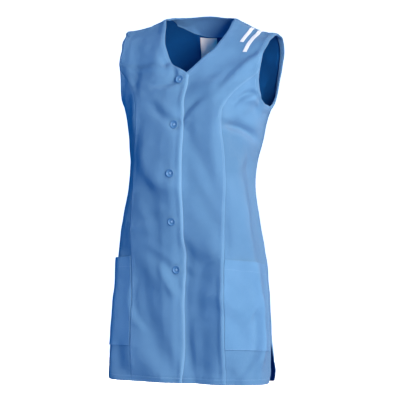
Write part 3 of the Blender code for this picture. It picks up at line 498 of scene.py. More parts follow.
def read(table, columns, name, run):
    """A named column of a table, as a smooth curve over its runs."""
    return spline(column(table, columns, "run"), column(table, columns, name), run)


def level(name, run):
    return read(LEVELS, LEVEL_COLUMNS, name, run)


def smoothstep(low, high, value):
    t = np.clip((value - low) / (high - low), 0.0, 1.0)
    return t * t * (3.0 - 2.0 * t)


def shoulder_ridge(across):
    """Height of the shoulder line."""
    rounded = np.sqrt(across ** 2 + CREST_ROUND ** 2)
    share = np.clip((np.abs(across) - NECK_HALF) / (SHOULDER_HALF - NECK_HALF), 0.0, 1.0)
    sag = SHOULDER_SAG * np.sin(math.pi * share) ** 2
    return -SHOULDER_SLOPE * (rounded - math.hypot(NECK_HALF, CREST_ROUND)) - sag


def form(angle, run):
    """Point of the body form. Angle in radians, positive to the wearer's left."""
    angle, run = np.broadcast_arrays(np.asarray(angle, float), np.asarray(run, float))
    side = np.sin(angle)
    fore = np.cos(angle)
    is_front = fore > 0
    square = np.where(is_front, level("square_front", run), level("square_back", run))
    depth = np.where(is_front, level("front", run), level("back", run))
    reach = (np.abs(side) ** square + np.abs(fore) ** square) ** (-1.0 / square)
    x = level("half_width", run) * reach * side
    behind = -depth * reach * fore
    y = level("side_y", run) + behind
    rise = NAPE_RISE * np.clip(behind / NAPE_DEPTH, 0.0, 1.0) * np.exp(-(x / NAPE_WIDTH) ** 2)
    tilt = level("shoulder_tilt", run) * shoulder_ridge(x)
    z = level("height", run) + tilt + level("nape", run) * rise
    return np.stack([x, y, z], axis=-1)


def angle_of(across, run, back=False):
    """Angle at which the form stands this far across."""
    square = level("square_back" if back else "square_front", run)
    share = np.clip(np.abs(across) / level("half_width", run), 0.0, 1.0)
    angle = np.arctan2(share, (1.0 - share ** square) ** (1.0 / square))
    angle = math.pi - angle if back else angle
    return np.sign(across) * angle


def outward(angle, run):
    """Unit normal of the form, out of the body."""
    low = np.minimum(run, RUN_TOP - 2 * FORM_STEP)
    around = form(angle + FORM_STEP, low) - form(angle - FORM_STEP, low)
    up = form(angle, low + FORM_STEP) - form(angle, low - FORM_STEP)
    normal = np.cross(around, up)
    return normal / np.linalg.norm(normal, axis=-1, keepdims=True)


def fold_height(points, normals):
    """Sum of the folds and creases at points of the form."""
    total = np.zeros(points.shape[:-1])
    for seen, across_a, height_a, across_b, height_b, bow, width, depth, step in FOLDS:
        turn = math.radians(seen)
        across = points[..., 0] * math.cos(turn) + points[..., 1] * math.sin(turn)
        facing = normals[..., 0] * math.sin(turn) - normals[..., 1] * math.cos(turn)
        line = np.array((across_b - across_a, height_b - height_a))
        length = np.hypot(line[0], line[1])
        from_a = (across - across_a, points[..., 2] - height_a)
        along = (from_a[0] * line[0] + from_a[1] * line[1]) / length ** 2
        off = (from_a[0] * line[1] - from_a[1] * line[0]) / length
        off = off - bow * 4.0 * np.clip(along * (1.0 - along), 0.0, 0.25)
        ends = smoothstep(-FOLD_FADE, FOLD_FADE, along) * smoothstep(
            -FOLD_FADE, FOLD_FADE, 1.0 - along)
        off = off / width
        shape = (depth + step * STEP_PEAK * off) * np.exp(-off ** 2)
        total += shape * ends * smoothstep(*FOLD_FACING, facing)
    return total


def wander(points, seed, size):
    """Smooth random height, about -1 to 1, whose features have this size."""
    chance = np.random.default_rng(seed)
    total = np.zeros(points.shape[:-1])
    for _ in range(WANDER_WAVES):
        direction = chance.normal(size=3)
        direction *= chance.uniform(*WANDER_SPREAD) * 2 * math.pi / (
            size * np.linalg.norm(direction))
        total += np.sin(points @ direction + chance.uniform(0, 2 * math.pi))
    return total / math.sqrt(2 * WANDER_WAVES)


def surface_height(points, normals):
    """Folds, creases and the slight unevenness of worn cloth."""
    soft = sum(height * wander(points, seed, size) for seed, size, height in UNEVEN)
    return fold_height(points, normals) + soft


def inset(angle, run, metres):
    """The same angle moved round the body by this much cloth."""
    reach = np.linalg.norm(form(angle + FORM_STEP, run) - form(angle - FORM_STEP, run), axis=-1)
    return angle + metres * 2 * FORM_STEP / reach


def front_edge(run, side):
    """How far across the inner edge of a front stands: its lap, then its neckline."""
    corner = RUN_CORNER[side]
    neck = read(NECKLINE, NECK_COLUMNS, hand(side) + "_across", np.maximum(run, corner))
    if side < 0:
        lap = read(RIGHT_LAP, LAP_COLUMNS, "past_centre", np.minimum(run, corner))
    else:
        lap = np.full(np.shape(run), LAP_HALF)
    return np.where(run < corner, -lap, neck)


def side_angle(run):
    """Angle of the side seam."""
    return spline(column(SIDE_SEAM, SIDE_SEAM_COLUMNS, "run"),
                  np.radians(column(SIDE_SEAM, SIDE_SEAM_COLUMNS, "angle_deg")), run)


def armhole_angle(run, back=False):
    """Angle of an armhole edge, from the underarm to the shoulder point."""
    table = ARMHOLE_BACK if back else ARMHOLE_FRONT
    runs = np.append(column(table, ARMHOLE_COLUMNS, "run"), RUN_TOP)
    top = angle_of(SHOULDER_HALF, RUN_TOP, back)
    angles = np.append(np.radians(column(table, ARMHOLE_COLUMNS, "angle_deg")), top)
    return spline(runs, angles, run)


def length_along(line):
    """Length from the start of a line to each of its points."""
    steps = np.linalg.norm(np.diff(line, axis=0), axis=-1)
    return np.concatenate([[0.0], np.cumsum(steps)])


def points_at(line, length, at):
    """Places on a line of points at these lengths along it."""
    return np.stack([np.interp(at, length, line[:, i]) for i in range(3)], axis=-1)


def arm_runs(count, back=False):
    """Runs of evenly spaced points along an armhole edge, from the underarm to the shoulder."""
    dense = np.linspace(RUN_UNDERARM, RUN_TOP, ARM_POINTS)
    length = length_along(form(armhole_angle(dense, back), dense))
    return np.interp(np.linspace(0.0, length[-1], count), length, dense)


def princess_angle(run):
    """Angle of the seam between a front and its side front."""
    join = form(armhole_angle(RUN_JOIN), RUN_JOIN)[0]
    runs = np.append(column(PRINCESS, PRINCESS_COLUMNS, "run"), RUN_JOIN)
    across = np.append(column(PRINCESS, PRINCESS_COLUMNS, "across"), join)
    return angle_of(spline(runs, across, run), run)


def nape_run(across):
    """Run of the back neck edge."""
    share = np.clip(np.abs(across) / NECK_HALF, 0.0, 1.0)
    return RUN_NAPE + (RUN_TOP - RUN_NAPE) * share ** NAPE_CURVE


def graded(length, pitch, near=EDGE_LINES, near_start=True, near_end=True):
    """Shares from 0 to 1 of grid lines over this length, close together beside turned edges."""
    low = np.array(near) if near_start else np.array([0.0])
    high = length - np.array(near)[::-1] if near_end else np.array([length])
    count = max(2, int(round((high[0] - low[-1]) / pitch)))
    middle = np.linspace(low[-1], high[0], count + 1)[1:-1]
    return np.concatenate([low, middle, high]) / length


def fill(left, right, foot, top, up, across):
    """Surface of (angle, run) between four edges, at these shares up and across."""
    s = across[..., None]
    t = up[..., None]
    corners = ((1 - s) * (1 - t) * left(0.0) + s * (1 - t) * right(0.0)
               + (1 - s) * t * left(1.0) + s * t * right(1.0))
    sides = (1 - s) * left(up) + s * right(up)
    ends = (1 - t) * foot(across) + t * top(across)
    return sides + ends - corners


def pairs(angle, run):
    """Angle and run of each place, side by side."""
    angle, run = np.broadcast_arrays(np.asarray(angle, float), np.asarray(run, float))
    return np.stack([angle, run], axis=-1)


def lap_rise(points, side):
    """How far the right front stands off where it laps over the left one."""
    if side > 0:
        return np.zeros(points.shape[:-1])
    full = -LAP_HALF - LAP_CLEAR
    return (WALL + LAP_GAP) * smoothstep(full - LAP_BLEND, full, points[..., 0])


def front_domain(side):
    """Angles and runs of a front, hem to shoulder and inner edge to outer edge."""
    finer = RUN_CORNER[side] - NECK_ROWS_BELOW
    low = finer * graded(finer, ROW_PITCH, near_end=False)
    corner = np.arange(finer, NECK_ROWS_TO, NECK_PITCH)[1:]
    corner = np.sort(np.append(corner, [RUN_CORNER[side], RUN_JOIN]))
    rest = RUN_TOP - SHOULDER_INSET - NECK_ROWS_TO
    high = NECK_ROWS_TO + rest * graded(rest, ROW_PITCH, near_start=False)
    runs = np.unique(np.concatenate([low, corner, high]))
    runs = runs[np.append(True, np.diff(runs) > NECK_PITCH / 4)]
    inner = angle_of(front_edge(runs, side), runs)
    outer = np.where(runs <= RUN_JOIN, princess_angle(np.minimum(runs, RUN_JOIN)),
                     armhole_angle(np.maximum(runs, RUN_JOIN)))
    outer = inset(outer, runs, np.where(runs <= RUN_JOIN, -SEAM_INSET, 0.0))
    share = graded(FRONT_WIDTH, COLUMN_PITCH)
    angles = inner[:, None] * (1 - share) + outer[:, None] * share
    return angles, np.repeat(runs[:, None], len(share), axis=1)


def side_domain(up, across):
    """Angles and runs of a side front at these shares up and across."""
    cad_runs = np.append(np.linspace(0.0, RUN_CORNER[1], SIDE_ROWS - 1), (RUN_CORNER[-1], RUN_JOIN))
    arm = arm_runs(ARM_POINTS)
    arm = np.append(arm[arm < RUN_JOIN], RUN_JOIN)[::-1]

    def princess_edge(t):
        runs = np.interp(t, np.linspace(0.0, 1.0, len(cad_runs)), cad_runs)
        return pairs(inset(princess_angle(runs), runs, SEAM_INSET), runs)

    def side_edge(t):
        runs = RUN_UNDERARM * np.asarray(t, float)
        return pairs(inset(side_angle(runs), runs, -SEAM_INSET), runs)

    def hem_edge(s):
        low, high = princess_edge(0.0), side_edge(0.0)
        return pairs(low[0] * (1 - s) + high[0] * s, 0.0)

    def arm_edge(s):
        runs = np.interp(s, np.linspace(0.0, 1.0, len(arm)), arm)
        return pairs(armhole_angle(runs), runs)

    return fill(princess_edge, side_edge, hem_edge, arm_edge, up, across)


def back_domain(up, across):
    """Angles and runs of half the back at these shares up and across, centre back to side."""
    side = np.linspace(0.0, RUN_UNDERARM, SIDE_ROWS + 1)
    arm = arm_runs(BACK_ARM_ROWS, back=True)
    arm[-1] = RUN_TOP - CREST_ROW
    edge_runs = np.concatenate([side, arm[1:], [RUN_TOP - SHOULDER_INSET]])
    rows = np.linspace(0.0, 1.0, len(edge_runs))
    middle = np.linspace(0.0, RUN_NAPE, len(rows) - 1)
    middle = np.concatenate([middle[:-1], [RUN_NAPE - CREST_ROW, RUN_NAPE]])
    neck = np.linspace(0.0, NECK_HALF, NECK_SHARE + 1)
    shoulder = np.linspace(NECK_HALF, SHOULDER_HALF, BACK_COLUMNS - NECK_SHARE + 1)[1:]
    top_across = np.concatenate([neck, shoulder])

    def centre(t):
        return pairs(math.pi, np.interp(t, rows, middle))

    def outer(t):
        runs = np.interp(t, rows, edge_runs)
        angles = np.where(runs <= RUN_UNDERARM, side_angle(np.minimum(runs, RUN_UNDERARM)),
                          armhole_angle(np.maximum(runs, RUN_UNDERARM), back=True))
        angles = inset(angles, runs, np.where(runs <= RUN_UNDERARM, SEAM_INSET, 0.0))
        return pairs(angles, runs)

    def foot(s):
        return pairs(math.pi * (1 - s) + outer(0.0)[0] * s, 0.0)

    def top(s):
        reach = np.interp(s, np.linspace(0.0, 1.0, len(top_across)), top_across)
        reach = np.maximum(reach, LEAST_ACROSS)
        runs = np.minimum(nape_run(reach), RUN_TOP - SHOULDER_INSET)
        return pairs(angle_of(reach, runs, True), runs)

    return fill(centre, outer, foot, top, up, across)


def lift_corner(angles, runs, corner, fade):
    """Lift the hem round its outer corner."""
    width, height = corner
    near = np.linalg.norm(form(angles[0, -1], 0.0) - form(angles[0], 0.0), axis=-1)
    inside = np.clip(1.0 - near / width, 0.0, 1.0)
    lift = height * (1.0 - np.sqrt(1.0 - inside ** 2))
    return runs + lift[None, :] * np.clip(1.0 - runs / fade, 0.0, 1.0)


def slit_share(run):
    """0 above the slit, 1 at the hem."""
    return np.clip(1.0 - run / RUN_SLIT, 0.0, 1.0)


# ------------------------------------------------------------------ edges, seams and stitch lines
def near_line(points, line):
    """Distance of points to a line of points, and how far along it the nearest place is."""
    length = length_along(line)
    count = max(2, int(length[-1] / LINE_STEP))
    at = np.linspace(0.0, length[-1], count)
    dense = points_at(line, length, at)
    flat = points.reshape(-1, 3)
    tree = KDTree(len(dense))
    for i, place in enumerate(dense):
        tree.insert(place, i)
    tree.balance()
    index = np.array([tree.find(place)[1] for place in flat])
    low = dense[np.clip(index - 1, 0, count - 1)]
    high = dense[np.clip(index + 1, 0, count - 1)]
    span = high - low
    share = np.clip(((flat - low) * span).sum(-1) / (span * span).sum(-1), 0.0, 1.0)
    distance = np.linalg.norm(flat - low - span * share[:, None], axis=-1)
    shape = points.shape[:-1]
    return distance.reshape(shape), at[index].reshape(shape)


def edge_height(distance, along, style, seed):
    """Height of a sewn edge: a hump up to its stitch line, a roll at the edge and puckers."""
    reach, rise, roll, sink, groove, pucker = EDGE_STYLES[style]
    inside = np.clip(distance / reach, 0.0, 1.0)
    hump = rise * np.clip(inside / CREST, 0.0, 1.0) * (
        1.0 - smoothstep(CREST * reach, CREST_END * reach, distance))
    turn = np.clip(1.0 - distance / roll, 0.0, 1.0)
    fall = -sink * (1.0 - np.sqrt(1.0 - turn ** 2))
    stitched = -groove * np.exp(-((distance - reach) / GROOVE_HALF) ** 2)
    chance = np.random.default_rng(seed)
    waves = sum(np.sin(along * 2 * math.pi / (PUCKER_PITCH * chance.uniform(*PUCKER_SPREAD))
                       + chance.uniform(0, 2 * math.pi))
                for _ in range(PUCKER_WAVES)) / (PUCKER_WAVES / 2)
    waves = pucker * waves * np.exp(-((distance - reach) / PUCKER_REACH) ** 2)
    return hump + fall + stitched + waves


def inward_line(line, normals, towards, distance):
    """A line moved along the cloth by this much, to the side that towards points to."""
    tangent = np.gradient(line, axis=0)
    tangent /= np.linalg.norm(tangent, axis=-1, keepdims=True)
    across = np.cross(normals, tangent)
    across *= np.sign((across * towards).sum(-1, keepdims=True))
    return line + across * distance


# ------------------------------------------------------------------ shells of cloth
def linked(name, data):
    """A new object with this data, in the scene."""
    made = bpy.data.objects.new(name, data)
    bpy.context.scene.collection.objects.link(made)
    return made


def grid_faces(rows, columns, turned):
    """Faces of a grid of points."""
    index = np.arange(rows * columns).reshape(rows, columns)
    corners = np.stack([index[:-1, :-1], index[:-1, 1:], index[1:, 1:], index[1:, :-1]], axis=-1)
    faces = corners.reshape(-1, 4)
    return faces[:, ::-1] if turned else faces


def rim_faces(rows, columns, turned):
    """Faces that close the rim between an outer grid and the inner one that follows it."""
    index = np.arange(rows * columns).reshape(rows, columns)
    loop = np.concatenate([index[0, :-1], index[:-1, -1], index[-1, :0:-1], index[:0:-1, 0]])
    after = np.roll(loop, -1)
    inner = rows * columns
    faces = np.stack([after, loop, loop + inner, after + inner], axis=-1)
    return faces[:, ::-1] if turned else faces


def cloth_piece(name, outer, normals, wall, turned, materials, uv):
    """Closed thin shell: an outer grid of points and an inner one a wall away.

    The first material is outside and on the rim, the last one inside.
    """
    rows, columns = outer.shape[:2]
    inner = outer - normals * wall
    vertices = np.concatenate([outer.reshape(-1, 3), inner.reshape(-1, 3)])
    front = grid_faces(rows, columns, turned)
    behind = grid_faces(rows, columns, not turned) + rows * columns
    rim = rim_faces(rows, columns, turned)
    faces = np.concatenate([front, behind, rim])
    kinds = np.zeros(len(faces), dtype=np.int32)
    kinds[len(front):len(front) + len(behind)] = len(materials) - 1
    mesh = bpy.data.meshes.new(name)
    mesh.from_pydata(vertices.tolist(), [], faces.tolist())
    mesh.polygons.foreach_set("use_smooth", np.full(len(faces), True))
    mesh.polygons.foreach_set("material_index", kinds)
    for material in materials:
        mesh.materials.append(material)
    layer = mesh.uv_layers.new(name="cloth")
    loops = np.empty(len(mesh.loops), dtype=np.int32)
    mesh.loops.foreach_get("vertex_index", loops)
    layer.data.foreach_set("uv", np.concatenate([uv, uv])[loops].astype(np.float32).ravel())
    mesh.update()
    return linked(name, mesh)


def cloth_uv(points, runs):
    """Place of each point in the flat cloth, in metres: round the body, and up."""
    steps = np.linalg.norm(np.diff(points, axis=1), axis=-1)
    round_body = np.concatenate([np.zeros((len(points), 1)), np.cumsum(steps, axis=1)], axis=1)
    return np.stack([round_body, runs], axis=-1).reshape(-1, 2)


# ------------------------------------------------------------------ materials
def linear(hex_colour):
    """Linear colour of an sRGB hex value."""
    values = [int(hex_colour[i:i + 2], 16) / 255 for i in (1, 3, 5)]
    return [v / 12.92 if v <= 0.04045 else ((v + 0.055) / 1.055) ** 2.4 for v in values] + [1.0]


def add(tree, kind, settings=None, **links):
    """Adds a node with its settings; each link or value goes to the input of that name.

    An underscore stands for a space, and _0 for the first input.
    """
    node = tree.nodes.new(kind)
    for name, value in (settings or {}).items():
        setattr(node, name, value)
    for name, value in links.items():
        key = int(name[1:]) if name[0] == "_" else name.replace("_", " ")
        if isinstance(value, bpy.types.NodeSocket):
            tree.links.new(value, node.inputs[key])
        else:
            node.inputs[key].default_value = value
    return node


def start_material(name, **sockets):
    """A material with its shader; these shader sockets are the same all over the surface."""
    material = bpy.data.materials.new(name)
    material.use_nodes = True
    tree = material.node_tree
    shader = tree.nodes["Principled BSDF"]
    for socket, value in sockets.items():
        shader.inputs[socket.replace("_", " ")].default_value = value
    return material, tree, shader


def woven(name, light, dark, pitch, depth, slope, **sockets):
    """Cloth woven on a diagonal (slope 1) or square (slope 0) grid of threads, in metres of cloth.

    Where its point attribute of painted highlight is above 0, the colour is painted paler, as a
    painted highlight along folded edges.
    """
    material, tree, shader = start_material(name, **sockets)
    cloth = add(tree, "ShaderNodeUVMap", {"uv_map": "cloth"}).outputs["UV"]
    place = add(tree, "ShaderNodeSeparateXYZ", _0=cloth)
    lean = add(tree, "ShaderNodeMath", {"operation": "MULTIPLY_ADD"}, _0=place.outputs["Y"],
               _1=float(slope), _2=place.outputs["X"]).outputs[0]
    ribs = add(tree, "ShaderNodeMath", {"operation": "MULTIPLY"}, _0=lean,
               _1=2 * math.pi / pitch).outputs[0]
    ribs = add(tree, "ShaderNodeMath", {"operation": "SINE"}, _0=ribs).outputs[0]
    across = add(tree, "ShaderNodeMath", {"operation": "MULTIPLY"}, _0=place.outputs["Y"],
                 _1=2 * math.pi / (pitch * THREAD_SHARE)).outputs[0]
    across = add(tree, "ShaderNodeMath", {"operation": "SINE"}, _0=across).outputs[0]
    weave = add(tree, "ShaderNodeMath", {"operation": "MULTIPLY_ADD"}, _0=across,
                _1=THREAD_WEIGHT, _2=ribs).outputs[0]
    slub = add(tree, "ShaderNodeMapping", Vector=cloth, Scale=SLUB_STRETCH).outputs[0]
    slub = add(tree, "ShaderNodeTexNoise", Vector=slub, Scale=SLUB_SCALE, Detail=2.0).outputs["Fac"]
    dye = add(tree, "ShaderNodeTexCoord").outputs["Object"]
    dye = add(tree, "ShaderNodeTexNoise", Vector=dye, Scale=DYE_SCALE, Detail=3.0).outputs["Fac"]
    tone = add(tree, "ShaderNodeMath", {"operation": "MULTIPLY_ADD"}, _0=slub, _1=SLUB_TONE,
               _2=dye).outputs[0]
    tone = add(tree, "ShaderNodeMath", {"operation": "MULTIPLY_ADD"}, _0=weave, _1=WEAVE_TONE,
               _2=tone).outputs[0]
    tone = add(tree, "ShaderNodeMapRange", Value=tone, From_Min=TONE_FROM,
               From_Max=1.0).outputs[0]
    colour = add(tree, "ShaderNodeMix", {"data_type": "RGBA"}, _0=tone, _6=linear(dark),
                 _7=linear(light)).outputs[2]
    # painted highlight: the colour is painted paler along folded edges
    highlight_share = add(tree, "ShaderNodeAttribute", {"attribute_name": "painted_highlight"}).outputs["Fac"]
    colour = add(tree, "ShaderNodeMix", {"data_type": "RGBA"}, _0=highlight_share, _6=colour,
                 _7=linear(HIGHLIGHT_COLOUR)).outputs[2]
    tree.links.new(colour, shader.inputs["Base Color"])
    bump = add(tree, "ShaderNodeBump", Strength=1.0, Distance=depth, Height=weave).outputs[0]
    bump = add(tree, "ShaderNodeBump", Strength=0.5, Distance=SLUB_DEPTH, Height=slub,
               Normal=bump).outputs[0]
    tree.links.new(bump, shader.inputs["Normal"])
    return material


def moulded(name, light, dark, **sockets):
    """Cast polyester button: nearly even colour with a faint cloud, and a fine tumbled grain."""
    material, tree, shader = start_material(name, **sockets)
    place = add(tree, "ShaderNodeTexCoord").outputs["Object"]
    cloud = add(tree, "ShaderNodeTexNoise", Vector=place, Scale=CLOUD_SCALE,
                Detail=2.0).outputs["Fac"]
    colour = add(tree, "ShaderNodeMix", {"data_type": "RGBA"}, _0=cloud, _6=linear(dark),
                 _7=linear(light)).outputs[2]
    tree.links.new(colour, shader.inputs["Base Color"])
    grain = add(tree, "ShaderNodeTexNoise", Vector=place, Scale=GRAIN_SCALE,
                Detail=2.0).outputs["Fac"]
    bump = add(tree, "ShaderNodeBump", Strength=0.25, Distance=GRAIN_DEPTH,
               Height=grain).outputs[0]
    tree.links.new(bump, shader.inputs["Normal"])
    return material


def twisted(name, light, dark, **sockets):
    """Spun polyester sewing thread: two shades that wind along it."""
    material, tree, shader = start_material(name, **sockets)
    place = add(tree, "ShaderNodeTexCoord").outputs["Object"]
    ply = add(tree, "ShaderNodeTexNoise", Vector=place, Scale=PLY_SCALE, Detail=1.0).outputs["Fac"]
    colour = add(tree, "ShaderNodeMix", {"data_type": "RGBA"}, _0=ply, _6=linear(dark),
                 _7=linear(light)).outputs[2]
    tree.links.new(colour, shader.inputs["Base Color"])
    bump = add(tree, "ShaderNodeBump", Strength=0.4, Distance=PLY_DEPTH, Height=ply).outputs[0]
    tree.links.new(bump, shader.inputs["Normal"])
    return material


# Polyester and cotton twill, woven two up one down and piece-dyed: matt, with a faint diagonal rib.
# Real ribs are 0.45 mm apart; they are drawn at 1.2 mm so that they show in a near view.
twill = woven("polycotton twill, dyed blue", "#6B9BC5", "#5F8FB9", TWILL_PITCH, TWILL_DEPTH, 1.0,
              **CLOTH_FINISH)
# The pockets: the same cloth, painted a shade lighter as painted light where they catch more light.
twill_pocket_painted_light = woven("polycotton twill, pocket, painted light", "#70A2CE", "#6396C1", TWILL_PITCH, TWILL_DEPTH,
                     1.0, **CLOTH_FINISH)
# The same twill from its wrong side, where the ribs lean the other way, painted dark as painted
# shade of the hollow garment.
twill_inside_painted_shade = woven("polycotton twill, wrong side in shade", "#0F5AA2", "#0A4B8F", TWILL_PITCH,
                     TWILL_DEPTH, -1.0, Roughness=0.95, IOR=1.40, Specular_IOR_Level=0.15)
# Facing cloth, the same twill with painted light: its colour is painted lighter for the light that
# comes over the front of the neck.
twill_facing_painted_light = woven("polycotton twill, facing, painted light", "#629AD2", "#548AC4", TWILL_PITCH, TWILL_DEPTH,
                     1.0, Roughness=0.90, IOR=1.46)
# Polyester twill tape, bleached: fine herringbone, a little brighter than the cloth.
tape = woven("polyester twill tape, white", "#FDFDFE", "#F4F5F7", *TAPE_WEAVE,
             Roughness=0.75, Sheen_Weight=0.1, IOR=1.46)
# Taffeta label ribbon, woven square and heat-cut.
ribbon = woven("polyester label ribbon, white", "#FDFDFE", "#F2F3F6", *RIBBON_WEAVE,
               Roughness=0.55, IOR=1.46)
# Cast polyester, tumbled to a soft gloss.
button_cast = moulded("cast polyester, dyed blue", "#5787B4", "#4A7AA8", Roughness=0.42, IOR=1.50,
                      Specular_IOR_Level=0.35)
# Corespun polyester sewing thread, a shade lighter than the cloth.
thread = twisted("corespun polyester thread, blue", "#A9CDEE", "#8DB6DD", Roughness=0.55, IOR=1.50)
thread_white = twisted("corespun polyester thread, white", "#F4F5F7", "#D9DCE2", Roughness=0.55,
                       IOR=1.50)


# ------------------------------------------------------------------ stitches
def stitch_tree(material):
    """Stitches in a row along each line; their length, pitch and thickness are named inputs."""
    tree = bpy.data.node_groups.new("stitches", "GeometryNodeTree")
    face = tree.interface
    face.new_socket("Lines", in_out="INPUT", socket_type="NodeSocketGeometry")
    for label in ("Stitch Length", "Stitch Pitch", "Thread Thickness"):
        face.new_socket(label, in_out="INPUT", socket_type="NodeSocketFloat")
    face.new_socket("Seed", in_out="INPUT", socket_type="NodeSocketInt")
    face.new_socket("Stitches", in_out="OUTPUT", socket_type="NodeSocketGeometry")
    given = tree.nodes.new("NodeGroupInput").outputs
    curve = add(tree, "GeometryNodeMeshToCurve", Mesh=given["Lines"]).outputs[0]
    points = add(tree, "GeometryNodeCurveToPoints", {"mode": "LENGTH"}, Curve=curve,
                 Length=given["Stitch Pitch"])
    ball = add(tree, "GeometryNodeMeshUVSphere", Segments=STITCH_SIDES[0],
               Rings=STITCH_SIDES[1], Radius=0.5).outputs[0]
    size = add(tree, "ShaderNodeCombineXYZ", X=given["Thread Thickness"],
               Y=given["Thread Thickness"], Z=given["Stitch Length"]).outputs[0]
    shape = add(tree, "GeometryNodeTransform", Geometry=ball, Scale=size).outputs[0]
    uneven = add(tree, "FunctionNodeRandomValue", {"data_type": "FLOAT_VECTOR"},
                 Min=STITCH_UNEVEN[0], Max=STITCH_UNEVEN[1], Seed=given["Seed"]).outputs[0]
    rows = add(tree, "GeometryNodeInstanceOnPoints", Points=points.outputs["Points"],
               Instance=shape, Rotation=points.outputs["Rotation"], Scale=uneven).outputs[0]
    solid = add(tree, "GeometryNodeRealizeInstances", Geometry=rows).outputs[0]
    smooth = add(tree, "GeometryNodeSetShadeSmooth", Geometry=solid).outputs[0]
    made = add(tree, "GeometryNodeSetMaterial", Geometry=smooth, Material=material).outputs[0]
    out = tree.nodes.new("NodeGroupOutput")
    tree.links.new(made, out.inputs["Stitches"])
    return tree


def stitches(name, lines, tree, seed):
    """Rows of stitches along these lines of points, as a plain mesh."""
    edges = []
    start = 0
    for line in lines:
        edges += [(i, i + 1) for i in range(start, start + len(line) - 1)]
        start += len(line)
    mesh = bpy.data.meshes.new(name + "_lines")
    mesh.from_pydata(np.concatenate(lines).tolist(), edges, [])
    guide = linked(name + "_lines", mesh)
    modifier = guide.modifiers.new("stitches", "NODES")
    modifier.node_group = tree
    values = {"Stitch Length": STITCH_LENGTH, "Stitch Pitch": STITCH_PITCH,
              "Thread Thickness": THREAD_THICKNESS, "Seed": seed}
    for item in tree.interface.items_tree:
        if item.in_out == "INPUT" and item.name in values:
            modifier[item.identifier] = values[item.name]
    graph = bpy.context.evaluated_depsgraph_get()
    made = linked(name, bpy.data.meshes.new_from_object(guide.evaluated_get(graph)))
    made.data.name = name
    bpy.data.objects.remove(guide, do_unlink=True)
    return made


def laid_line(line, tree):
    """A line of points laid on the cloth: each goes to the nearest place of the mesh."""
    placed = []
    for point in line:
        place, normal, _, _ = tree.find_nearest(Vector(point))
        placed.append(place + normal * THREAD_LIFT)
    return np.array(placed)


def kept_runs(line, keep):
    """The stretches of a line where keep is true."""
    stretches = np.split(np.arange(len(line)), np.flatnonzero(np.diff(keep.astype(int))) + 1)
    return [line[s] for s in stretches if keep[s[0]] and len(s) >= SHORTEST_ROW]


# ------------------------------------------------------------------ the panels
def ride(piece, node):
    """A finished piece: hung from the root body, with the CAD node that it stands for hidden."""
    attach(piece, "root")
    if node:
        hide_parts(node)
    return piece


def sewn_panel(name, angles, runs, side, raised, edges, turned, seed, offset=None, wall=WALL,
               materials=(twill, twill_inside_painted_shade)):
    """A panel with its folds and sewn edges. edges: (row, column) places of each, and its style.

    Gives the piece, its rows of stitches as lines of points, and a tree of its outer face.
    """
    base = form(side * angles, runs)
    normals = outward(side * angles, runs)
    height = raised + surface_height(base, normals)
    # painted highlight along folded edges, kept on the points for the cloth's colour
    painted_highlight = np.zeros(base.shape[:2])
    for number, (pick, style) in enumerate(edges):
        distance, along = near_line(base, base[pick].reshape(-1, 3))
        height = height + edge_height(distance, along, style, seed * SEED_STRIDE + number)
        painted_highlight = np.maximum(painted_highlight, EDGE_HIGHLIGHT.get(style, 0.0) * np.exp(
            -((distance - HIGHLIGHT_FROM) / HIGHLIGHT_HALF) ** 2))
    if name == BUTTONED:
        for run, _ in BUTTONS:           # each fastened button holds its cloth level
            gap = np.linalg.norm(base - form(0.0, run), axis=-1)
            middle = height[np.unravel_index(np.argmin(gap), gap.shape)]
            height = height + (middle - height) * np.exp(-(gap / BUTTON_HOLD) ** 4)
    outer = base + normals * height[..., None]
    if offset is not None:
        outer = outer + offset
    piece = cloth_piece(name + "_cloth", outer, normals, wall, turned, materials,
                        cloth_uv(base, runs))
    shares = np.zeros(len(piece.data.vertices), dtype=np.float32)
    shares[:painted_highlight.size] = painted_highlight.ravel()
    piece.data.attributes.new("painted_highlight", "FLOAT", "POINT").data.foreach_set("value", shares)

    rows, columns = base.shape[:2]
    tree = BVHTree.FromPolygons(outer.reshape(-1, 3).tolist(),
                                grid_faces(rows, columns, turned).tolist())
    centre = outer[rows // 2, columns // 2]
    stitched = [(pick, STITCHED[style]) for pick, style in edges if style in STITCHED]
    sewn = []
    for pick, distances in stitched:
        line = outer[pick].reshape(-1, 3)
        length = length_along(line)
        at = np.linspace(0.0, length[-1],
                         max(SHORTEST_ROW, int(length[-1] / STITCH_GUIDE_STEP)))
        line = points_at(line, length, at)
        normal = points_at(normals[pick].reshape(-1, 3), length, at)
        for distance in distances:
            moved = laid_line(inward_line(line, normal, centre - line, distance), tree)
            keep = np.ones(len(moved), bool)
            for other, other_distances in stitched:
                if other is not pick:
                    gap, _ = near_line(moved, outer[other].reshape(-1, 3))
                    keep &= gap > min(other_distances) - STITCH_CLEAR
            sewn += kept_runs(moved, keep)
    return piece, sewn, tree


# ------------------------------------------------------------------ making the cloth pieces
def rows_where(runs, low, high):
    """Rows of the grid whose run is between these two."""
    return np.flatnonzero((runs >= low - RUN_TOLERANCE) & (runs <= high + RUN_TOLERANCE))


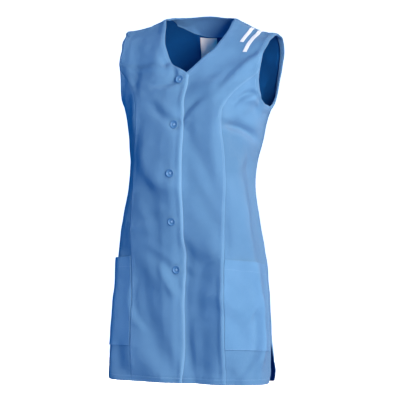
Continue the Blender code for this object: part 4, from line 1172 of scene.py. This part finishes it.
def front(side):
    right = side < 0
    angles, runs = front_domain(side)
    corner = RUN_CORNER[side]
    base = form(side * angles, runs)
    facing = FACING_RISE * (1.0 - smoothstep(FACING_REACH - FACING_BLEND,
                                             FACING_REACH + FACING_BLEND, side * base[..., 0]))
    seam_gap = np.linalg.norm(base - base[:, -1:], axis=-1)
    caught = smoothstep(*POCKET_FOOT_EASE, runs) * (1.0 - smoothstep(*POCKET_TOP_EASE, runs))
    facing = facing + POCKET_LAYERS * caught * np.exp(-(seam_gap / POCKET_LAYER_REACH) ** 2)
    below = rows_where(runs[:, 0], 0.0, corner)
    above = rows_where(runs[:, 0], corner, RUN_TOP)
    seam = rows_where(runs[:, 0], 0.0, RUN_JOIN)
    arm = rows_where(runs[:, 0], RUN_JOIN, RUN_TOP)
    edges = (((below, 0), "placket" if right else "under_lap"), ((above, 0), "neck"),
             ((seam, -1), "pressed_flat" if right else "pressed"), ((arm, -1), "armhole"),
             (np.s_[-1, :], "seam"), (np.s_[0, :], "hem"))
    return sewn_panel(hand(side) + "_front", angles, runs, side, lap_rise(base, side) + facing,
                      edges, right, SEEDS["front"] + side)


def side_front(side):
    up, across = np.meshgrid(graded(SIDE_HEIGHT, ROW_PITCH), graded(SIDE_WIDTH, COLUMN_PITCH),
                             indexing="ij")
    domain = side_domain(up, across)
    angles = domain[..., 0]
    runs = lift_corner(angles, domain[..., 1], HEM_CORNER, CORNER_FADE["front"])
    swing = slit_share(runs) ** FRONT_SWING_CURVE * smoothstep(SWING_FROM, 1.0, across)
    slit = rows_where(domain[:, -1, 1], 0.0, RUN_SLIT)
    seam = rows_where(domain[:, -1, 1], RUN_SLIT, RUN_UNDERARM)
    edges = ((np.s_[:, 0], "under"), ((seam, -1), "seam"), ((slit, -1), "turned"),
             (np.s_[-1, :], "armhole"), (np.s_[0, :], "hem"))
    return sewn_panel(hand(side) + "_side_front", angles, runs, side, -SLIT_FRONT_SWING * swing,
                      edges, side < 0, SEEDS["side_front"] + side)


def whole(half):
    """A grid across both halves, made of its left half from the centre out."""
    return np.concatenate([half[:, :0:-1], half], axis=1)


def back():
    up, across = np.meshgrid(graded(BACK_HEIGHT, BACK_PITCH),
                             graded(HALF_BACK, BACK_PITCH, near_start=False), indexing="ij")
    domain = back_domain(up, across)
    runs = lift_corner(domain[..., 0], domain[..., 1], BACK_CORNER, CORNER_FADE["back"])
    swing = slit_share(runs) ** BACK_SWING_CURVE * smoothstep(SWING_FROM, 1.0, across)
    angles = np.concatenate([-domain[:, :0:-1, 0], domain[..., 0]], axis=1)
    runs = whole(runs)
    swing = whole(swing)
    edge_runs = domain[:, -1, 1]
    half = across.shape[1] - 1
    sides = np.concatenate([-np.ones(half), np.ones(half + 1)])
    offset = np.zeros(runs.shape + (3,))
    offset[..., 0] = sides * BACK_SWING_OUT * SLIT_BACK_SWING * swing
    offset[..., 1] = SLIT_BACK_SWING * swing
    slit = rows_where(edge_runs, 0.0, RUN_SLIT)
    seam = rows_where(edge_runs, RUN_SLIT, RUN_UNDERARM)
    arm = rows_where(edge_runs, RUN_UNDERARM, RUN_TOP)
    neck = int(np.searchsorted(across[0], NECK_SHARE / BACK_COLUMNS))
    dart = rows_where(runs[:, half], *DART_RUNS)
    dart_column = int(np.searchsorted(across[0], DART_SHARE))
    edges = [(np.s_[0, :], "hem"), (np.s_[-1, half - neck:half + neck + 1], "neck"),
             (np.s_[-1, :half - neck], "seam"), (np.s_[-1, half + neck + 1:], "seam")]
    for last in (0, -1):
        edges += [((slit, last), "turned"), ((seam, last), "seam"), ((arm, last), "armhole")]
    edges += [((dart, half - dart_column), "dart"), ((dart, half + dart_column), "dart")]
    flare = SLIT_FLARE * swing * np.clip(1.0 - (1.0 - whole(across)) * HALF_BACK / SLIT_FLARE_REACH,
                                         0.0, 1.0) ** 2
    return sewn_panel("back", angles, runs, 1, flare, edges, True, SEEDS["back"], offset=offset)


def pocket(side):
    up = graded(POCKET_HEIGHT, ROW_PITCH, PATCH_LINES)[:, None]
    share = graded(POCKET_WIDTH, COLUMN_PITCH, PATCH_LINES)
    top = POCKET_TOP_PRINCESS + (POCKET_TOP_SIDE - POCKET_TOP_PRINCESS) * share
    foot = POCKET_FOOT_PRINCESS + (POCKET_FOOT_SIDE - POCKET_FOOT_PRINCESS) * share
    runs = foot[None, :] + (top - foot)[None, :] * up
    inner = inset(princess_angle(runs[:, 0]), runs[:, 0], POCKET_INSET)
    outer = inset(side_angle(runs[:, -1]), runs[:, -1], -POCKET_SIDE_INSET)
    angles = inner[:, None] * (1 - share) + outer[:, None] * share
    gape = POCKET_MOUTH_GAPE * smoothstep(POCKET_GAPE_FROM, 1.0, up) * np.sin(math.pi * share)
    swing = slit_share(runs) ** FRONT_SWING_CURVE * smoothstep(SWING_FROM, 1.0, share)[None, :]
    raised = LAY_GAP + TRIM_WALL + POCKET_CLEAR + gape - SLIT_FRONT_SWING * swing
    edges = ((np.s_[:, 0], "caught"), (np.s_[:, -1], "patch"), (np.s_[0, :], "patch"),
             (np.s_[-1, :], "mouth"))
    return sewn_panel(hand(side) + "_pocket", angles, runs, side, raised, edges, side < 0,
                      SEEDS["pocket"] + side, wall=TRIM_WALL,
                      materials=(twill_pocket_painted_light, twill_inside_painted_shade))


def inside_back(name, up, across, wall, material, edges, seed):
    """A piece laid inside the back, at these shares up and across it."""
    domain = back_domain(up, np.abs(across))
    angles = np.where(across < 0, -1.0, 1.0) * domain[..., 0]
    return sewn_panel(name, angles, domain[..., 1], 1, -(WALL + INNER_GAP), edges, True, seed,
                      wall=wall, materials=(material, material))


def neck_facing():
    last = SIDE_ROWS + BACK_ARM_ROWS
    reach = NECK_SHARE / BACK_COLUMNS
    half = graded(NECK_FACING_HALF, ROW_PITCH, near_start=False)
    across = reach * np.concatenate([-half[:0:-1], half])
    depth = FACING_ROWS_CENTRE - (FACING_ROWS_CENTRE - FACING_ROWS_SHOULDER) * (
        across / reach) ** 2
    share = graded(NECK_FACING_DEEP, ROW_PITCH)[:, None]
    up = (last - depth * (1 - share) - FACING_TOP_INSET * share) / last
    up, across = np.broadcast_arrays(up, across[None, :])
    edges = ((np.s_[0, :], "turned"),)
    return inside_back("back_neck_facing", up, across, TRIM_WALL, twill_facing_painted_light, edges,
                       SEEDS["neck_facing"])


def arm_facing(side):
    last = SIDE_ROWS + BACK_ARM_ROWS
    low = SIDE_ROWS + ARM_FACING_FROM
    rows = low + (last - ARM_FACING_TO - low) * graded(ARM_FACING_TALL, ROW_PITCH)
    share = smoothstep(rows[0], rows[0] + ARM_FACING_TAPER, rows)
    width = ARM_FACING_NARROW + (ARM_FACING_WIDE - ARM_FACING_NARROW) * share
    reach = BACK_COLUMNS - ARM_FACING_INSET
    part = np.linspace(1.0, 0.0, ARM_FACING_LINES)
    across = (reach - width[:, None] * part[None, :]) / BACK_COLUMNS
    up = np.repeat((rows / last)[:, None], len(part), axis=1)
    domain = back_domain(up, across)
    edges = ((np.s_[:, 0], "plain"),)
    return sewn_panel(hand(side) + "_armhole_facing", domain[..., 0], domain[..., 1], side,
                      -(WALL + INNER_GAP), edges, side < 0, SEEDS["arm_facing"] + side,
                      wall=TRIM_WALL, materials=(twill_facing_painted_light, twill_facing_painted_light))


def label():
    last = SIDE_ROWS + BACK_ARM_ROWS
    rows = np.linspace(last - LABEL_ROWS[0], last - LABEL_ROWS[1], LABEL_GRID[0])
    columns = np.linspace(LABEL_COLUMNS[0], LABEL_COLUMNS[1], LABEL_GRID[1])
    up, across = np.meshgrid(rows / last, columns / BACK_COLUMNS, indexing="ij")
    edges = ((np.s_[-1, :], "plain"), (np.s_[:, 0], "plain"), (np.s_[:, -1], "plain"))
    return inside_back("label", up, across, LABEL_WALL, ribbon, edges, SEEDS["label"])


def stripe(name, across_top, across_foot, length, width):
    share = graded(length, TAPE_ROW_PITCH, TAPE_LINES)
    runs = RUN_TOP - TAPE_START - length * (1 - share)
    middle = across_foot + (across_top - across_foot) * share
    offsets = width * (graded(width, TAPE_COLUMN_PITCH, TAPE_LINES) - 0.5)
    across = middle[:, None] + offsets[None, :]
    runs = np.repeat(runs[:, None], len(offsets), axis=1)
    edges = ((np.s_[:, 0], "plain"), (np.s_[:, -1], "plain"), (np.s_[0, :], "plain"))
    return sewn_panel(name, angle_of(across, runs), runs, 1, LAY_GAP + TRIM_WALL, edges, False,
                      SEEDS["stripe"], wall=TRIM_WALL, materials=(tape,))


# ------------------------------------------------------------------ making the buttons
def button_mesh():
    """Turned button with a raised rim and four holes drilled through its sunken middle."""
    turns = np.linspace(0.0, 2 * math.pi, BUTTON_SIDES, endpoint=False)
    radius, height = np.array(BUTTON_PROFILE[1:-1]).T
    rings = np.stack([np.outer(np.cos(turns), radius), np.outer(np.sin(turns), radius),
                      np.outer(np.ones(BUTTON_SIDES), height)], axis=-1).reshape(-1, 3)
    middles = [(0, 0, BUTTON_PROFILE[0][1]), (0, 0, BUTTON_PROFILE[-1][1])]
    inner = len(radius)
    faces = []
    for i in range(BUTTON_SIDES):
        j = (i + 1) % BUTTON_SIDES
        faces += [(i * inner + k, j * inner + k, j * inner + k + 1, i * inner + k + 1)
                  for k in range(inner - 1)]
        faces.append((j * inner, i * inner, len(rings)))
        faces.append((i * inner + inner - 1, j * inner + inner - 1, len(rings) + 1))
    body = bpy.data.meshes.new("button_body")
    body.from_pydata(np.concatenate([rings, middles]).tolist(), [], faces)
    body.update()
    drill = bmesh.new()
    for side in (-1, 1):
        for end in (-1, 1):
            place = Matrix.Translation((side * HOLE_OFF, end * HOLE_OFF, DRILL_HEIGHT))
            bmesh.ops.create_cone(drill, cap_ends=True, segments=HOLE_SIDES, radius1=HOLE_RADIUS,
                                  radius2=HOLE_RADIUS, depth=DRILL_DEPTH, matrix=place)
    bits = bpy.data.meshes.new("button_drill")
    drill.to_mesh(bits)
    drill.free()
    turned, bit = linked("button_body", body), linked("button_drill", bits)
    cut = turned.modifiers.new("holes", "BOOLEAN")
    cut.operation = "DIFFERENCE"
    cut.solver = "EXACT"
    cut.object = bit
    graph = bpy.context.evaluated_depsgraph_get()
    mesh = bpy.data.meshes.new_from_object(turned.evaluated_get(graph))
    for made in (turned, bit):
        bpy.data.objects.remove(made, do_unlink=True)
    return mesh


def thread_mesh():
    """Strands of thread between the holes, two crossing pairs, and the wound shank beneath."""
    mesh = bmesh.new()
    apart = THREAD_THICKNESS * STRAND_APART
    long, wide, high = STRAND_SHAPE
    for turn in (math.pi / 4, -math.pi / 4):
        for off in (-apart, apart):
            shape = (Matrix.Rotation(turn, 4, "Z") @ Matrix.Translation((0, off, STRAND_HEIGHT))
                     @ Matrix.Diagonal((HOLE_OFF * long, THREAD_THICKNESS * wide,
                                        THREAD_THICKNESS * high, 1.0)))
            bmesh.ops.create_uvsphere(mesh, u_segments=STRAND_SIDES[0],
                                      v_segments=STRAND_SIDES[1], radius=1.0, matrix=shape)
    bmesh.ops.create_cone(mesh, segments=SHANK_SIDES, radius1=SHANK_RADIUS,
                          radius2=SHANK_RADIUS * SHANK_TAPER, depth=SHANK_LENGTH, cap_ends=True,
                          matrix=Matrix.Translation((0, 0, SHANK_TOP - SHANK_LENGTH / 2)))
    made = bpy.data.meshes.new("button_thread")
    mesh.to_mesh(made)
    mesh.free()
    return made


def seat_height(tree, base, normal):
    """How far from this point of the form the domed underside of a button meets the cloth."""
    lie = normal.to_track_quat("Z", "Y").to_matrix()
    heights = []
    for ring in SEAT_RINGS:
        for angle in np.linspace(0.0, 2 * math.pi, SEAT_TURNS, endpoint=False):
            aside = lie @ Vector((math.cos(angle), math.sin(angle), 0.0)) * BUTTON_RADIUS * ring
            hit = tree.ray_cast(base + aside + normal * SEAT_PROBE, -normal)[0]
            if hit is not None:
                heights.append((hit - base).dot(normal) - BUTTON_DOME * ring ** 2)
    return heights[0] + min(max(heights) - heights[0], BUTTON_PRESS)


def placed(name, mesh, place, material):
    """A copy of a mesh with this place in its mesh, smooth but for its sharp edges."""
    copy = mesh.copy()
    copy.name = name
    copy.transform(place)
    copy.materials.clear()
    copy.materials.append(material)
    made = linked(name, copy)
    copy.polygons.foreach_set("use_smooth", np.full(len(copy.polygons), True))
    copy.set_sharp_from_angle(angle=math.radians(SHARP_DEGREES))
    return made


# ------------------------------------------------------------------ the tunic
sewing = stitch_tree(thread)
sewing_white = stitch_tree(thread_white)
panels = {}
for side in (-1, 1):
    panels[hand(side) + "_front"] = front(side)
    panels[hand(side) + "_side_front"] = side_front(side)
    panels[hand(side) + "_pocket"] = pocket(side)
    panels[hand(side) + "_armhole_facing"] = arm_facing(side)
panels["back"] = back()
panels["back_neck_facing"] = neck_facing()
panels["label"] = label()
for values in TAPES:
    panels[values[0]] = stripe(*values)

for number, (name, (piece, sewn, _)) in enumerate(panels.items()):
    slot = {"label": "label_white"}.get(name, "tape_white" if "stripe" in name else "twill_blue")
    ride(piece, name)
    rows = []
    if sewn:
        white = slot != "twill_blue"
        rows.append(stitches(name + "_stitches", sewn, sewing_white if white else sewing, number))
        ride(rows[0], None)

button = button_mesh()
strands = thread_mesh()
_, _, seat = panels[BUTTONED]
for number, (run, turn) in enumerate(BUTTONS, start=1):
    base = form(0.0, run)
    normal = outward(np.array(0.0), np.array(run))
    height = seat_height(seat, Vector(base), Vector(normal)) + BUTTON_LIFT
    place = (Matrix.Translation(Vector(base + normal * height))
             @ Vector(normal).to_track_quat("Z", "Y").to_matrix().to_4x4()
             @ Matrix.Rotation(math.radians(turn), 4, "Z"))
    ride(placed(f"button_{number}_cast", button, place, button_cast), f"button_{number}")
    ride(placed(f"button_{number}_thread", strands, place, thread), None)


# ------------------------------------------------------------------ floor, light and camera
def stage():
    """Pale floor that sweeps up into a round backdrop, beyond the camera."""
    profile = [(FLOOR_REACH * share, 0.0) for share in FLOOR_RINGS]
    profile += [(FLOOR_REACH + SWEEP_ROUND * math.sin(a), SWEEP_ROUND * (1 - math.cos(a)))
                for a in np.linspace(SWEEP_FROM, math.pi / 2, SWEEP_LINES)]
    profile.append((FLOOR_REACH + SWEEP_ROUND, WALL_HEIGHT))
    turns = np.linspace(0.0, 2 * math.pi, STAGE_SIDES, endpoint=False)
    points = [(r * math.cos(t), r * math.sin(t), FLOOR_HEIGHT + h)
              for r, h in profile for t in turns]
    rings = np.arange(len(points)).reshape(len(profile), STAGE_SIDES)
    rings = np.concatenate([rings, rings[:, :1]], axis=1)
    faces = np.stack([rings[:-1, :-1], rings[:-1, 1:], rings[1:, 1:], rings[1:, :-1]], axis=-1)
    faces = [list(face[::-1]) for face in faces.reshape(-1, 4)] + [list(rings[0, :-1])]
    # Background paper, pulped and calendered: matt white with a very faint cloud.
    paper, tree, shader = start_material("seamless paper, white", Roughness=0.9,
                                         Emission_Color=linear("#FFFFFF"),
                                         Emission_Strength=PAPER_GLOW)
    cloud = add(tree, "ShaderNodeTexCoord").outputs["Object"]
    cloud = add(tree, "ShaderNodeTexNoise", Vector=cloud, Scale=PAPER_SCALE).outputs["Fac"]
    tone = add(tree, "ShaderNodeMix", {"data_type": "RGBA"}, _0=cloud, _6=linear("#FAFAFA"),
               _7=linear("#FFFFFF")).outputs[2]
    tree.links.new(tone, shader.inputs["Base Color"])
    mesh = bpy.data.meshes.new("floor")
    mesh.from_pydata(points, [], faces)
    mesh.polygons.foreach_set("use_smooth", np.full(len(faces), True))
    mesh.materials.append(paper)
    mesh.update()
    floor = linked("floor", mesh)
    floor.visible_diffuse = False
    floor.visible_glossy = False


def stand(thing, azimuth, elevation, distance):
    """Stands a light or the camera this far from the tunic, facing it. Angles in degrees."""
    turn, rise = math.radians(azimuth), math.radians(elevation)
    away = Vector((math.sin(turn) * math.cos(rise), -math.cos(turn) * math.cos(rise),
                   math.sin(rise)))
    thing.location = Vector(VIEW_TARGET) + away * distance
    thing.rotation_euler = away.to_track_quat("Z", "Y").to_euler()


def soft_light(name, azimuth, elevation, distance, size, watts, colour):
    """A round soft box."""
    lamp = bpy.data.lights.new(name, "AREA")
    lamp.shape = "DISK"
    lamp.size = size
    lamp.energy = watts
    lamp.color = linear(colour)[:3]
    stand(linked(name, lamp), azimuth, elevation, distance)


stage()
for values in LIGHTS:
    soft_light(*values)
world = bpy.data.worlds.new("studio")
world.use_nodes = True
background = world.node_tree.nodes["Background"].inputs
background["Color"].default_value = linear(WORLD_COLOUR)
background["Strength"].default_value = WORLD_STRENGTH
bpy.context.scene.world = world
bpy.context.scene.view_settings.view_transform = "Standard"

lens = bpy.data.cameras.new("camera")
lens.lens = LENS_MM
lens.sensor_width = SENSOR_MM
lens.clip_end = VIEW_END
lens.shift_x, lens.shift_y = VIEW_SHIFT
camera = linked("camera", lens)
stand(camera, VIEW_AZIMUTH, VIEW_ELEVATION, VIEW_DISTANCE)
bpy.context.scene.camera = camera
